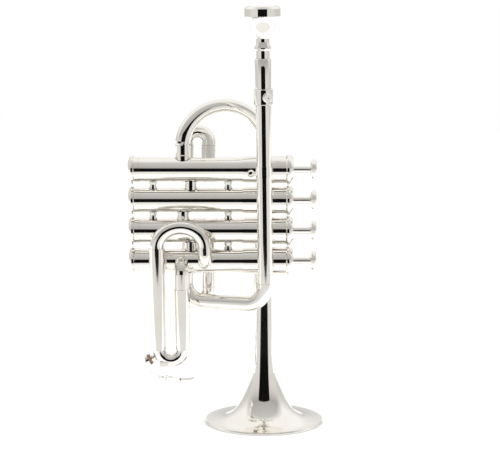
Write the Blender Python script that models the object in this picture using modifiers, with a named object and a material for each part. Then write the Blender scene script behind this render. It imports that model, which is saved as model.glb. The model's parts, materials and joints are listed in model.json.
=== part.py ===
"""Piccolo trumpet with four valves, standing on its bell.

Metres, +Z up. The bell's mouth is the plane z = 0 and the bell's axis is vertical. +X runs along
the valves from the bottom caps to the finger buttons, and -Y is the side of the leadpipe.
The model's origin is the centre of the bounding box's bottom face.
"""

import math

import bmesh
import bpy
from mathutils import Matrix, Vector

OBJECT_NAME = "piccolo_trumpet"

# Fits between pieces
GAP = 0.0003
RUNNING_GAP = 0.0003

# Bell: a flared horn with a rolled rim, and a straight tail with a socket at its top
BELL_RIM_R = 0.0508
BELL_WALL = 0.0007
BELL_BEAD_R = 0.0011
BELL_FLARE_TOP = 0.045
BELL_FLARE_OFFSET = 0.00272
BELL_FLARE_POWER = 0.439
BELL_TAIL = ((0.062, 0.0129), (0.097, 0.0114), (0.123, 0.0105), (0.157, 0.0099), (0.207, 0.0080))
BELL_SOCKET_TOP = 0.2400
BELL_SOCKET_R = 0.0069
BELL_SOCKET_DEPTH = 0.0070
BELL_SIDES = 24

# Valves: four casings side by side, their axes along X in a plane in front of the bell
VALVE_COUNT = 4
VALVE_PITCH = 0.0257
LOWEST_VALVE_Z = 0.1438
VALVES_FROM_BELL = 0.0225
CASING_R = 0.0102
CASING_BORE_R = 0.0088
CASING_BOTTOM_X = -0.1044
SLEEVE_FOOT_X = -0.0196
SLEEVE_COVE = 0.0028
SLEEVE_FOOT_R = 0.0110
SLEEVE_R = 0.0113
CASING_TOP_X = 0.0156
THREAD_LENGTH = 0.0046
BOTTOM_THREAD_R = 0.0097
TOP_THREAD_R = 0.0104
CASING_SIDES = 14

# Bottom caps
BOTTOM_CAP_END_X = -0.1140
BOTTOM_CAP_R = 0.0105
BOTTOM_CAP_RIM_R = 0.0119
BOTTOM_CAP_RIM_FROM = -0.1118
BOTTOM_CAP_RIM_TO = -0.1088
BOTTOM_CAP_FLOOR = 0.0020

# Top caps
TOP_CAP_R = 0.0114
TOP_CAP_RIM_R = 0.0125
TOP_CAP_RIM_FROM = 0.0180
TOP_CAP_RIM_TO = 0.0218
TOP_CAP_LIP_R = 0.0098
TOP_CAP_END_X = 0.0242
TOP_CAP_PLATE = 0.0022

# Pistons, stems, finger buttons and springs
STROKE = 0.0135
PISTON_BOTTOM_X = -0.0880
PISTON_TOP_X = 0.0170
PISTON_SEAT_DEPTH = 0.0080
PISTON_SEAT_R = 0.0074
PISTON_HOLLOW_X = -0.0240
PISTON_HOLLOW_R = 0.0074
PASSAGE_R = 0.0042
STEM_R = 0.0031
STEM_FOOT_R = 0.0080
STEM_SPIGOT = 0.0040
STEM_NECK_R = 0.0018
STEM_NECK = 0.0038
BUTTON_FROM_X = 0.0377
BUTTON_R = 0.0087
BUTTON_THICKNESS = 0.0058
BUTTON_NECK_R = 0.0045
SPRING_R = 0.0061
SPRING_WIRE_R = 0.0004
SPRING_TURNS = 5

# Ports, knuckles and the posts that brace the casings
PORT_R = 0.0046
UPPER_PORT_X = (-0.0682, -0.0616, -0.0681, -0.0616)
KNUCKLE_R = 0.0055
KNUCKLE_BORE_R = 0.0047
POST_CAP_END_X = -0.0932
POST_BUTTON_END_X = -0.0305
POST_R = 0.0036
POST_WAIST_R = 0.0030

# Bell bow, from the ferrule on valve 1 over to the bell's socket
BOW_RISE = 0.0330
BOW_START_Z = 0.2402
BOW_FERRULE_TOP = 0.2414
BOW_FERRULE_RING = 0.2335
BOW_FERRULE_R = 0.0068
BOW_RADII = (0.0066, 0.0060, 0.0057, 0.0056, 0.0060)
BOW_BORE_R = 0.0049
BOW_SPIGOT_R = 0.0056
BOW_STEPS = 12

# Leadpipe line, in front of the valves and leaning a little to the caps' side
LEADPIPE_FROM_VALVES = 0.0195
LEADPIPE_LEAN = 0.7
LEADPIPE_FOOT_X = 0.0023
SLEEVE_TUBE_R = 0.00645
SLEEVE_TUBE_BORE_R = 0.0056
SLEEVE_TUBE_TOP = 0.2894
LOWER_FERRULE_R = 0.0069
LOWER_FERRULE_TOP = 0.1363
LOWER_FERRULE_BOTTOM = 0.1285
BRACE_FERRULE_R = 0.0070
BRACE_FERRULE_TOP = 0.2258
BRACE_FERRULE_BOTTOM = 0.2169
COLLAR_R = 0.0078
COLLAR_BOTTOM = 0.2767
COLLAR_TOP = 0.2897
CLAMP_SCREW_Z = 0.2830
CLAMP_SCREW_TURN = 20.0
CLAMP_SCREW_R = 0.0015
CLAMP_HEAD_R = 0.0039
CLAMP_HEAD = 0.0032
CLAMP_PIT_R = 0.0009
LEADPIPE_R = 0.0064
LEADPIPE_MOUTH_R = 0.0067
LEADPIPE_TOP = 0.3145
LEADPIPE_SHANK_R = 0.0053
LEADPIPE_SHANK_BOTTOM = 0.2150
LEADPIPE_BORE_R = 0.0044
RECEIVER_DEPTH = 0.0240
SHANK_TOP_R = 0.0049
SHANK_BOTTOM_R = 0.0043

# Mouthpiece, in heights above the bell's mouth
MOUTHPIECE_TOP = 0.3571
MOUTHPIECE_RIM_R = 0.0147
MOUTHPIECE_RIM_BOTTOM = 0.3482
MOUTHPIECE_CUP_R = 0.0106
MOUTHPIECE_NECK_R = 0.0054
CUP_MOUTH_R = 0.0084
CUP_DEPTH = 0.0115
THROAT_R = 0.0018
BACKBORE_R = 0.0034

# Brace from the leadpipe to valve 1
BRACE_FOOT_X = -0.0113
BRACE_Z = 0.2192
BRACE_FOOT_R = 0.0031
BRACE_ROD_R = 0.0014

# Bottom bow, from the leadpipe's sleeve up into valve 4
BOTTOM_BOW_R = 0.0064
BOTTOM_BOW_BORE_R = 0.0055
BOTTOM_BOW_BEND = 0.0164
BOTTOM_BOW_Z = 0.1100
BOTTOM_PORT_X = -0.0670
BOTTOM_SPIGOT_R = 0.0053

# Fourth slide: in front of the valves, leaning a little
SLIDE4_LEAN = 0.9
SLIDE4_FROM_VALVES = 0.0195
SLIDE4_SHORT_X = -0.0496
SLIDE4_INNER_X = -0.0693
SLIDE4_SPACING = 0.0200
SLIDE4_TUBE_R = 0.00565
SLIDE4_BORE_R = 0.0048
SLIDE4_LEG_R = 0.0067
SLIDE4_STOCKING_R = 0.0055
SLIDE4_ELBOW = 0.0080
SLIDE4_BOW_Z = 0.1579
SLIDE4_BOW_RISE = 0.0173
SLIDE4_LEG_END = 0.0730
SLIDE4_FERRULE_TOP = 0.1348
SLIDE4_FERRULE_BOTTOM = 0.1234
SLIDE4_FERRULE_R = 0.0060
SLIDE4_STOCKING = 0.0420

# Slides of valves 1 to 3, behind the valves
REAR_PORTS_X = (-0.0658, -0.0473)
REAR_TUBE_R = 0.0060
REAR_BORE_R = 0.0046
REAR_LEG_BORE_R = 0.0054
REAR_STOCKING_R = 0.0051
REAR_ELBOW = 0.0085
REAR_ELBOW_REACH = 0.0125
FIRST_LEAN = 20.0
FIRST_LEG = 0.0115
FIRST_STRAIGHT = 0.0036
SECOND_LEG = 0.0100
SECOND_STRAIGHT = 0.0030
THIRD_LEG = 0.0425
THIRD_STRAIGHT = 0.0030
REAR_BRACE_R = 0.0015

# Water key on the fourth slide's crook
KEY_TURN = 26.0
NIPPLE_R = 0.0024
NIPPLE_FLANGE_R = 0.0036
NIPPLE_FLANGE = 0.0010
NIPPLE_BORE_R = 0.0013
NIPPLE_REACH = 0.0024
CORK_R = 0.0043
CORK_THICKNESS = 0.0031
CORK_CUP_WALL = 0.0005
CORK_CUP_FLOOR = 0.0012
CORK_CUP_DEPTH = 0.0011
PIVOT_X = -0.0074
PIVOT_Z = -0.0240
BARREL_R = 0.0021
BARREL_LENGTH = 0.0088
KEY_PIN_R = 0.0009
KEY_PIN_HEAD_R = 0.0017
KEY_PIN_HEAD = 0.0009
EAR_THICKNESS = 0.0012
EAR_R = 0.0026
SADDLE_WIDTH = 0.0074
KEY_ARM_THICKNESS = 0.0020
KEY_ARM_WIDTH = 0.0022
THUMB_LENGTH = 0.0120
THUMB_WIDTH = 0.0090
THUMB_THICKNESS = 0.0010
THUMB_REACH = 0.0262
KEY_SPRING_R = 0.0030
KEY_SPRING_WIRE_R = 0.0003
KEY_SPRING_PITCH = 0.00105
KEY_SPRING_LEG = 0.0085
SADDLE_SLOT_TOP = 0.0054

# Places that follow from the sizes above
BELL_AXIS_X = -(BOTTOM_CAP_END_X + BELL_RIM_R) / 2
BELL_AXIS_Y = (VALVES_FROM_BELL + LEADPIPE_FROM_VALVES + MOUTHPIECE_RIM_R - BELL_RIM_R) / 2
VALVE_Y = -VALVES_FROM_BELL
LEADPIPE_Y = VALVE_Y - LEADPIPE_FROM_VALVES
SLIDE4_Y = VALVE_Y - SLIDE4_FROM_VALVES
SLIDE4_OUTER_X = SLIDE4_INNER_X - SLIDE4_SPACING
SLIDE4_CROOK_X = SLIDE4_INNER_X - SLIDE4_SPACING / 2
SLIDE4_CROOK_Z = SLIDE4_LEG_END - GAP
LOWER_PORT_X = UPPER_PORT_X[1:] + (BOTTOM_PORT_X,)

X_AXIS = Vector((1, 0, 0))
Y_AXIS = Vector((0, 1, 0))
Z_AXIS = Vector((0, 0, 1))


def at(x, y, z):
    """A point measured from the bell's axis and the plane of its mouth."""
    return Vector((BELL_AXIS_X + x, BELL_AXIS_Y + y, z))


def valve_z(valve):
    """Height of a valve's axis. Valve 1 is the highest."""
    return LOWEST_VALVE_Z + (VALVE_COUNT - valve) * VALVE_PITCH


def lean_matrix(pivot, degrees):
    """Turns things about an axis along Y through a point. A positive angle moves the foot to +X."""
    turn = Matrix.Rotation(math.radians(-degrees), 4, "Y")
    return Matrix.Translation(pivot) @ turn @ Matrix.Translation(-pivot)


LEADPIPE_TURN = lean_matrix(at(LEADPIPE_FOOT_X, LEADPIPE_Y, 0), LEADPIPE_LEAN)
LEADPIPE_UP = LEADPIPE_TURN.to_3x3() @ Z_AXIS
SLIDE4_TURN = lean_matrix(at(SLIDE4_INNER_X, SLIDE4_Y, LOWEST_VALVE_Z), SLIDE4_LEAN)
SLIDE4_UP = SLIDE4_TURN.to_3x3() @ Z_AXIS


def slide4(x, y, z):
    """A point of the fourth slide, in its leaning place."""
    return SLIDE4_TURN @ at(x, y, z)


def leadpipe(z):
    """The point of the leadpipe's axis at a distance z along it from the plane of the bell's mouth."""
    return at(LEADPIPE_FOOT_X, LEADPIPE_Y, 0) + LEADPIPE_UP * z


# Scene, collections and materials


def clear_scene():
    for obj in list(bpy.data.objects):
        bpy.data.objects.remove(obj)
    for collection in list(bpy.data.collections):
        bpy.data.collections.remove(collection)


def new_collection(name):
    collection = bpy.data.collections.new(name)
    bpy.context.scene.collection.children.link(collection)
    return collection


clear_scene()
PARTS = new_collection(OBJECT_NAME)
CUTTERS = new_collection("cutters")


def new_material(name, color, metallic, roughness):
    material = bpy.data.materials.new(name)
    material.use_nodes = True
    shader = material.node_tree.nodes["Principled BSDF"]
    shader.inputs["Base Color"].default_value = (*color, 1.0)
    shader.inputs["Metallic"].default_value = metallic
    shader.inputs["Roughness"].default_value = roughness
    material.diffuse_color = (*color, 1.0)
    return material


def silver(name):
    return new_material(name + "_silver", (0.90, 0.88, 0.84), 1.0, 0.07)


def polished_piston(name):
    return new_material(name + "_monel", (0.72, 0.71, 0.68), 1.0, 0.16)


def spring_steel(name):
    return new_material(name + "_steel", (0.50, 0.48, 0.46), 1.0, 0.30)


def cork(name):
    return new_material(name + "_cork", (0.30, 0.15, 0.09), 0.0, 0.85)


# Building blocks


def shade(mesh):
    mesh.shade_smooth()
    mesh.set_sharp_from_angle(angle=math.radians(32))


def add_part(name, mesh, material_maker, matrix=None):
    """Puts a mesh into the model as a named piece with its own material."""
    mesh.materials.clear()
    mesh.materials.append(material_maker(name))
    shade(mesh)
    obj = bpy.data.objects.new(name, mesh)
    PARTS.objects.link(obj)
    if matrix is not None:
        obj.matrix_world = matrix
    return obj


def add_cutter(name, mesh, matrix=None):
    """A helper shape for a Boolean. It stays out of the model and of renders."""
    obj = bpy.data.objects.new(name, mesh)
    obj.hide_render = True
    obj.display_type = "WIRE"
    CUTTERS.objects.link(obj)
    if matrix is not None:
        obj.matrix_world = matrix
    return obj


def boolean(obj, tool, operation):
    modifier = obj.modifiers.new(operation.lower(), "BOOLEAN")
    modifier.operation = operation
    modifier.solver = "EXACT"
    modifier.object = tool


def cut(obj, tool):
    boolean(obj, tool, "DIFFERENCE")


def join(obj, tool):
    boolean(obj, tool, "UNION")


def facing(origin, axis):
    """A matrix that takes the local Z axis to the given axis at the given origin."""
    turn = Z_AXIS.rotation_difference(axis.normalized()).to_matrix().to_4x4()
    return Matrix.Translation(origin) @ turn


def profile_mesh(name, profile, closed):
    """An outline in the local XZ plane, from (radius, height) pairs."""
    mesh = bpy.data.meshes.new(name)
    points = [(radius, 0.0, height) for radius, height in profile]
    edges = [(i, i + 1) for i in range(len(points) - 1)]
    if closed:
        edges.append((len(points) - 1, 0))
    mesh.from_pydata(points, edges, [])
    return mesh


def spin(obj, sides):
    screw = obj.modifiers.new("spin", "SCREW")
    screw.steps = sides
    screw.render_steps = sides
    screw.use_merge_vertices = True
    screw.merge_threshold = 0.00001
    screw.use_smooth_shade = True


def turned(name, profile, origin, axis, sides, material_maker, closed=False):
    """A turned piece. The profile runs down its outer side and, on a hollow piece, up its inner side."""
    mesh = profile_mesh(name, profile, closed)
    obj = add_part(name, mesh, material_maker, facing(origin, axis))
    spin(obj, sides)
    return obj


def turned_cutter(name, profile, origin, axis, sides):
    obj = add_cutter(name, profile_mesh(name, profile, False), facing(origin, axis))
    spin(obj, sides)
    return obj


def rod_cutter(name, start, end, radius, sides=12):
    """A plain round bar between two points, to cut with or to join on."""
    mesh = bpy.data.meshes.new(name)
    shape = bmesh.new()
    length = (end - start).length
    bmesh.ops.create_cone(
        shape, cap_ends=True, segments=sides, radius1=radius, radius2=radius, depth=length
    )
    bmesh.ops.translate(shape, verts=shape.verts, vec=(0, 0, length / 2))
    shape.to_mesh(mesh)
    shape.free()
    return add_cutter(name, mesh, facing(start, end - start))


def box_cutter(name, low, high, matrix):
    mesh = bpy.data.meshes.new(name)
    shape = bmesh.new()
    bmesh.ops.create_cube(shape, size=1.0)
    size = Vector(high) - Vector(low)
    middle = (Vector(high) + Vector(low)) / 2
    bmesh.ops.scale(shape, verts=shape.verts, vec=size)
    bmesh.ops.translate(shape, verts=shape.verts, vec=middle)
    shape.to_mesh(mesh)
    shape.free()
    return add_cutter(name, mesh, matrix)


def swept_mesh(name, points, radii, resolution):
    """A round bar along points, from a curve with a bevel, as a closed mesh."""
    curve = bpy.data.curves.new(name, "CURVE")
    curve.dimensions = "3D"
    curve.bevel_depth = 1.0
    curve.bevel_resolution = resolution
    curve.use_fill_caps = True
    spline = curve.splines.new("POLY")
    spline.points.add(len(points) - 1)
    for point, place, radius in zip(spline.points, points, radii):
        point.co = (*place, 1.0)
        point.radius = radius
    holder = bpy.data.objects.new(name, curve)
    CUTTERS.objects.link(holder)
    depsgraph = bpy.context.evaluated_depsgraph_get()
    mesh = bpy.data.meshes.new_from_object(holder.evaluated_get(depsgraph))
    bpy.data.objects.remove(holder)
    shape = bmesh.new()
    shape.from_mesh(mesh)
    bmesh.ops.remove_doubles(shape, verts=shape.verts, dist=0.000001)
    shape.to_mesh(mesh)
    shape.free()
    return mesh


def stretched(points, extra):
    """The same route with its two ends drawn out, so that a bore runs past both end faces."""
    first = points[0] + (points[0] - points[1]).normalized() * extra
    last = points[-1] + (points[-1] - points[-2]).normalized() * extra
    return [first] + points[1:-1] + [last]


def tube(name, points, radii, bores, resolution, material_maker):
    """A bent tube. radii and bores give the outer and inner radius at each point of the route."""
    obj = add_part(name, swept_mesh(name, points, radii, resolution), material_maker)
    bore = swept_mesh(name + "_bore", stretched(points, 0.002), bores, resolution)
    cut(obj, add_cutter(name + "_bore", bore))
    return obj


class Route:
    """A run of points made of straight stretches and round bends, as a tube bender makes it."""

    def __init__(self, start, heading, radius, bore):
        self.points = [start]
        self.radii = [radius]
        self.bores = [bore]
        self.heading = heading.normalized()
        self.radius = radius
        self.bore = bore

    def mark(self, place):
        self.points.append(place)
        self.radii.append(self.radius)
        self.bores.append(self.bore)

    def ahead(self, length):
        self.mark(self.points[-1] + self.heading * length)

    def step(self, radius, bore):
        """Changes the tube's outer and inner radius at a shoulder."""
        self.radius = radius
        self.bore = bore
        self.ahead(0.00005)

    def bend(self, towards, radius, degrees, steps):
        """Turns the heading towards a direction square to it, along an arc."""
        towards = towards.normalized()
        start = self.points[-1]
        centre = start + towards * radius
        heading = self.heading
        for i in range(1, steps + 1):
            angle = math.radians(degrees) * i / steps
            out = -towards * math.cos(angle) + heading * math.sin(angle)
            self.mark(centre + out * radius)
        last = math.radians(degrees)
        self.heading = heading * math.cos(last) + towards * math.sin(last)


def route_tube(name, route, resolution, material_maker):
    return tube(name, route.points, route.radii, route.bores, resolution, material_maker)


def casing_cutter(name, valve):
    """The space that a valve's casing takes, with the gap that its neighbours keep."""
    start = at(CASING_BOTTOM_X, VALVE_Y, valve_z(valve))
    end = at(SLEEVE_FOOT_X, VALVE_Y, valve_z(valve))
    return rod_cutter(name, start, end, CASING_R + GAP, 24)


def saddle(obj, *valves):
    """Cuts a piece's ends to the round of the casings that it is fastened to."""
    for valve in valves:
        cut(obj, casing_cutter(f"{obj.name}_seat_{valve}", valve))


# Bell


def flare_radius(z):
    """Outer radius of the horn near its mouth, which opens as a power of the distance."""
    lip = BELL_RIM_R - BELL_BEAD_R
    return lip * (BELL_FLARE_OFFSET / (z + BELL_FLARE_OFFSET)) ** BELL_FLARE_POWER


def bell_outside():
    """Outer profile of the bell from its socket down to the rim's bead."""
    bead_top = 2 * BELL_BEAD_R
    heights = [BELL_FLARE_TOP * share for share in (1.0, 0.70, 0.46, 0.28, 0.16, 0.08)]
    flare = [(flare_radius(z), z) for z in heights if z > 1.2 * bead_top]
    tail = [(radius, z) for z, radius in reversed(BELL_TAIL)]
    socket = [(BELL_SOCKET_R, BELL_SOCKET_TOP), (BELL_SOCKET_R, BELL_SOCKET_TOP - BELL_SOCKET_DEPTH)]
    return socket + tail + flare


def build_bell():
    outside = bell_outside()
    low_r, low_z = outside[-1]
    bead_r = BELL_RIM_R - BELL_BEAD_R
    bead = [
        (bead_r + 0.4 * BELL_BEAD_R, 2 * BELL_BEAD_R),
        (BELL_RIM_R, BELL_BEAD_R),
        (bead_r + 0.6 * BELL_BEAD_R, 0.0),
        (bead_r - 1.4 * BELL_BEAD_R, 0.0),
    ]
    inside = [(radius - BELL_WALL, z - 0.3 * BELL_WALL) for radius, z in reversed(outside[2:])]
    socket_floor = BELL_SOCKET_TOP - BELL_SOCKET_DEPTH
    socket_bore = BELL_SOCKET_R - BELL_WALL
    top = [
        (inside[-1][0] - 0.0012, socket_floor),
        (socket_bore, socket_floor),
        (socket_bore, BELL_SOCKET_TOP),
    ]
    profile = outside + bead + inside + top
    turned("bell", profile, at(0, 0, 0), Z_AXIS, BELL_SIDES, silver, closed=True)


# Valves


def valve_origin(valve):
    return at(0, VALVE_Y, valve_z(valve))


def side_ports(valve):
    """Where the two ends of a valve's slide enter its casing, and the side that they enter from."""
    if valve == VALVE_COUNT:
        return (SLIDE4_INNER_X, SLIDE4_SHORT_X), -Y_AXIS
    return REAR_PORTS_X, Y_AXIS


def build_casing(valve):
    name = f"valve_casing_{valve}"
    profile = [
        (TOP_THREAD_R, CASING_TOP_X + THREAD_LENGTH),
        (TOP_THREAD_R, CASING_TOP_X),
        (SLEEVE_R, CASING_TOP_X),
        (SLEEVE_FOOT_R, SLEEVE_FOOT_X + SLEEVE_COVE),
        (CASING_R, SLEEVE_FOOT_X),
        (CASING_R, CASING_BOTTOM_X),
        (BOTTOM_THREAD_R, CASING_BOTTOM_X),
        (BOTTOM_THREAD_R, CASING_BOTTOM_X - THREAD_LENGTH),
        (CASING_BORE_R, CASING_BOTTOM_X - THREAD_LENGTH),
        (CASING_BORE_R, CASING_TOP_X + THREAD_LENGTH),
    ]
    origin = valve_origin(valve)
    casing = turned(name, profile, origin, X_AXIS, CASING_SIDES, silver, closed=True)
    index = valve - 1
    holes = [(UPPER_PORT_X[index], Z_AXIS), (LOWER_PORT_X[index], -Z_AXIS)]
    ports, side = side_ports(valve)
    holes += [(x, side) for x in ports]
    for number, (x, way) in enumerate(holes):
        start = origin + X_AXIS * x
        cut(casing, rod_cutter(f"{name}_port_{number}", start, start + way * 2 * CASING_R, PORT_R, 8))


def build_bottom_cap(valve):
    floor_x = BOTTOM_CAP_END_X + BOTTOM_CAP_FLOOR
    rim_round = (BOTTOM_CAP_RIM_TO - BOTTOM_CAP_RIM_FROM) / 5
    profile = [
        (BOTTOM_CAP_R, CASING_BOTTOM_X - GAP),
        (BOTTOM_CAP_R, BOTTOM_CAP_RIM_TO),
        (BOTTOM_CAP_RIM_R, BOTTOM_CAP_RIM_TO - rim_round),
        (BOTTOM_CAP_RIM_R, BOTTOM_CAP_RIM_FROM + rim_round),
        (0.96 * BOTTOM_CAP_R, BOTTOM_CAP_END_X + 0.0012),
        (0.62 * BOTTOM_CAP_R, BOTTOM_CAP_END_X),
        (0.0, BOTTOM_CAP_END_X),
        (0.0, floor_x),
        (BOTTOM_THREAD_R + GAP, floor_x),
        (BOTTOM_THREAD_R + GAP, CASING_BOTTOM_X - GAP),
    ]
    name = f"bottom_cap_{valve}"
    turned(name, profile, valve_origin(valve), X_AXIS, CASING_SIDES, silver, closed=True)


def build_top_cap(valve):
    plate_x = TOP_CAP_END_X - TOP_CAP_PLATE
    hole_r = STEM_R + RUNNING_GAP
    rim_round = (TOP_CAP_RIM_TO - TOP_CAP_RIM_FROM) / 4
    profile = [
        (TOP_CAP_LIP_R, TOP_CAP_END_X),
        (TOP_CAP_R, TOP_CAP_RIM_TO + rim_round),
        (TOP_CAP_RIM_R, TOP_CAP_RIM_TO - rim_round),
        (TOP_CAP_RIM_R, TOP_CAP_RIM_FROM + rim_round),
        (TOP_CAP_R, TOP_CAP_RIM_FROM),
        (TOP_CAP_R, CASING_TOP_X + GAP),
        (TOP_THREAD_R + GAP, CASING_TOP_X + GAP),
        (TOP_THREAD_R + GAP, plate_x),
        (hole_r, plate_x),
        (hole_r, TOP_CAP_END_X),
    ]
    name = f"top_cap_{valve}"
    turned(name, profile, valve_origin(valve), X_AXIS, CASING_SIDES, silver, closed=True)


def passage_cutter(name, origin, start, end):
    """A straight slanting bore between two ports of a piston, run out past its surface."""
    mouths = [origin + X_AXIS * x + way * CASING_BORE_R for x, way in (start, end)]
    extra = (mouths[1] - mouths[0]).normalized() * CASING_BORE_R
    return rod_cutter(name, mouths[0] - extra, mouths[1] + extra, PASSAGE_R, 8)


def build_piston(valve):
    name = f"piston_{valve}"
    origin = valve_origin(valve)
    radius = CASING_BORE_R - RUNNING_GAP
    seat_x = PISTON_BOTTOM_X + PISTON_SEAT_DEPTH
    profile = [
        (PISTON_HOLLOW_R, PISTON_TOP_X),
        (radius, PISTON_TOP_X),
        (radius, PISTON_BOTTOM_X),
        (PISTON_SEAT_R, PISTON_BOTTOM_X),
        (PISTON_SEAT_R, seat_x),
        (0.0, seat_x),
        (0.0, PISTON_HOLLOW_X),
        (PISTON_HOLLOW_R, PISTON_HOLLOW_X),
    ]
    piston = turned(name, profile, origin, X_AXIS, CASING_SIDES, polished_piston, closed=True)
    upper_x = UPPER_PORT_X[valve - 1]
    lower_x = LOWER_PORT_X[valve - 1]
    high = origin + X_AXIS * upper_x + Z_AXIS * 1.3 * CASING_BORE_R
    low = origin + X_AXIS * lower_x - Z_AXIS * 1.3 * CASING_BORE_R
    cut(piston, rod_cutter(f"{name}_open", high, low, PASSAGE_R, 8))
    ends = sorted([(upper_x + STROKE, Z_AXIS), (lower_x + STROKE, -Z_AXIS)], key=lambda end: end[0])
    ports, side = side_ports(valve)
    for number, (end, x) in enumerate(zip(ends, sorted(ports))):
        cut(piston, passage_cutter(f"{name}_loop_{number}", origin, end, (x + STROKE, side)))


def build_stem(valve):
    foot_bottom = PISTON_TOP_X + GAP
    foot_top = TOP_CAP_END_X - TOP_CAP_PLATE - GAP
    spigot_r = PISTON_HOLLOW_R - GAP
    neck_x = BUTTON_FROM_X - GAP
    profile = [
        (0.0, neck_x + STEM_NECK),
        (STEM_NECK_R, neck_x + STEM_NECK),
        (STEM_NECK_R, neck_x),
        (STEM_R, neck_x),
        (STEM_R, foot_top),
        (STEM_FOOT_R, foot_top),
        (STEM_FOOT_R, foot_bottom),
        (spigot_r, foot_bottom),
        (spigot_r, PISTON_TOP_X - STEM_SPIGOT),
        (0.0, PISTON_TOP_X - STEM_SPIGOT),
    ]
    turned(f"valve_stem_{valve}", profile, valve_origin(valve), X_AXIS, 12, silver)


def build_button(valve):
    top = BUTTON_FROM_X + BUTTON_THICKNESS
    hole_r = STEM_NECK_R + GAP
    hole_end = BUTTON_FROM_X - GAP + STEM_NECK + GAP
    profile = [
        (0.0, top - 0.0008),
        (0.80 * BUTTON_R, top),
        (0.94 * BUTTON_R, top - 0.0009),
        (BUTTON_R, top - 0.0026),
        (0.94 * BUTTON_R, top - 0.0042),
        (BUTTON_NECK_R, BUTTON_FROM_X + 0.0006),
        (BUTTON_NECK_R, BUTTON_FROM_X),
        (hole_r, BUTTON_FROM_X),
        (hole_r, hole_end),
        (0.0, hole_end),
    ]
    name = f"finger_button_{valve}"
    turned(name, profile, valve_origin(valve), X_AXIS, 12, silver)


def helix(start_x, end_x, radius, turns, points_a_turn):
    """Points of a coil about the local X axis."""
    count = turns * points_a_turn
    points = []
    for i in range(count + 1):
        angle = 2 * math.pi * i / points_a_turn
        x = start_x + (end_x - start_x) * i / count
        points.append(Vector((x, radius * math.cos(angle), radius * math.sin(angle))))
    return points


def build_valve_spring(valve):
    start_x = BOTTOM_CAP_END_X + BOTTOM_CAP_FLOOR + GAP + SPRING_WIRE_R
    end_x = PISTON_BOTTOM_X + PISTON_SEAT_DEPTH - GAP - SPRING_WIRE_R
    points = helix(start_x, end_x, SPRING_R, SPRING_TURNS, 6)
    radii = [SPRING_WIRE_R] * len(points)
    mesh = swept_mesh(f"valve_spring_{valve}", points, radii, 0)
    matrix = Matrix.Translation(valve_origin(valve))
    add_part(f"valve_spring_{valve}", mesh, spring_steel, matrix)


def build_valves():
    for valve in range(1, VALVE_COUNT + 1):
        build_casing(valve)
        build_bottom_cap(valve)
        build_top_cap(valve)
        build_piston(valve)
        build_stem(valve)
        build_button(valve)
        build_valve_spring(valve)


# Knuckles and posts between the casings


def build_knuckle(upper):
    """The short tube that joins a valve to the next one below."""
    lower = upper + 1
    x = LOWER_PORT_X[upper - 1]
    start = at(x, VALVE_Y, valve_z(lower))
    route = Route(start, Z_AXIS, KNUCKLE_R, KNUCKLE_BORE_R)
    route.ahead(VALVE_PITCH)
    knuckle = route_tube(f"knuckle_{upper}_{lower}", route, 3, silver)
    saddle(knuckle, upper, lower)


def build_post(upper, x, place):
    """A waisted post that holds two casings apart."""
    lower = upper + 1
    half = VALVE_PITCH / 2
    clear = half - CASING_R
    profile = [
        (0.0, half),
        (POST_R, half),
        (POST_R, 0.8 * clear),
        (POST_WAIST_R, 0.0),
        (POST_R, -0.8 * clear),
        (POST_R, -half),
        (0.0, -half),
    ]
    middle = at(x, VALVE_Y, valve_z(lower) + half)
    post = turned(f"casing_post_{upper}_{lower}_{place}", profile, middle, Z_AXIS, 10, silver)
    saddle(post, upper, lower)


def build_links():
    for upper in range(1, VALVE_COUNT):
        build_knuckle(upper)
        build_post(upper, POST_BUTTON_END_X, "button_end")
    for upper in range(1, VALVE_COUNT - 1):
        build_post(upper, POST_CAP_END_X, "cap_end")


# Bell bow


def build_bow_ferrule():
    bottom = valve_z(1)
    step = BOW_FERRULE_RING
    socket_r = BOW_SPIGOT_R + GAP
    profile = [
        (BOW_FERRULE_R, BOW_FERRULE_TOP),
        (BOW_FERRULE_R, step + 0.0004),
        (BOW_FERRULE_R - 0.0003, step),
        (BOW_FERRULE_R, step - 0.0004),
        (BOW_FERRULE_R, bottom),
        (PORT_R, bottom),
        (PORT_R, step),
        (socket_r, step),
        (socket_r, BOW_FERRULE_TOP),
    ]
    origin = at(UPPER_PORT_X[0], VALVE_Y, 0)
    ferrule = turned("bell_bow_ferrule", profile, origin, Z_AXIS, 12, silver, closed=True)
    saddle(ferrule, 1)


def bow_radius(share):
    """Outer radius of the bell bow at a share of its sweep."""
    place = share * (len(BOW_RADII) - 1)
    low = min(int(place), len(BOW_RADII) - 2)
    return BOW_RADII[low] + (BOW_RADII[low + 1] - BOW_RADII[low]) * (place - low)


def build_bell_bow():
    left = at(UPPER_PORT_X[0], VALVE_Y, BOW_START_Z)
    right = at(0, 0, BOW_START_Z)
    middle = (left + right) / 2
    half = (right - left) / 2
    route = Route(left + Z_AXIS * (BOW_FERRULE_RING + GAP - BOW_START_Z), Z_AXIS, BOW_SPIGOT_R, BOW_BORE_R)
    route.mark(left + Z_AXIS * (BOW_FERRULE_TOP + GAP - BOW_START_Z))
    for i in range(BOW_STEPS + 1):
        share = i / BOW_STEPS
        angle = math.pi * share
        place = middle - half * math.cos(angle) + Z_AXIS * BOW_RISE * math.sin(angle)
        route.radius = bow_radius(share)
        if place.z > BOW_FERRULE_TOP + GAP or share > 0.5:
            if share < 0.5 and len(route.points) == 2:
                route.mark(route.points[-1] + Z_AXIS * 0.00005)
                route.mark(route.points[-1] + Z_AXIS * 0.0008)
            route.mark(place)
    socket_floor = BELL_SOCKET_TOP - BELL_SOCKET_DEPTH
    route.mark(Vector((right.x, right.y, socket_floor + GAP)))
    route_tube("bell_bow", route, 4, silver)


# Leadpipe line


def leadpipe_piece(name, profile, sides, closed=True):
    return turned(name, profile, leadpipe(0), LEADPIPE_UP, sides, silver, closed=closed)


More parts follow.
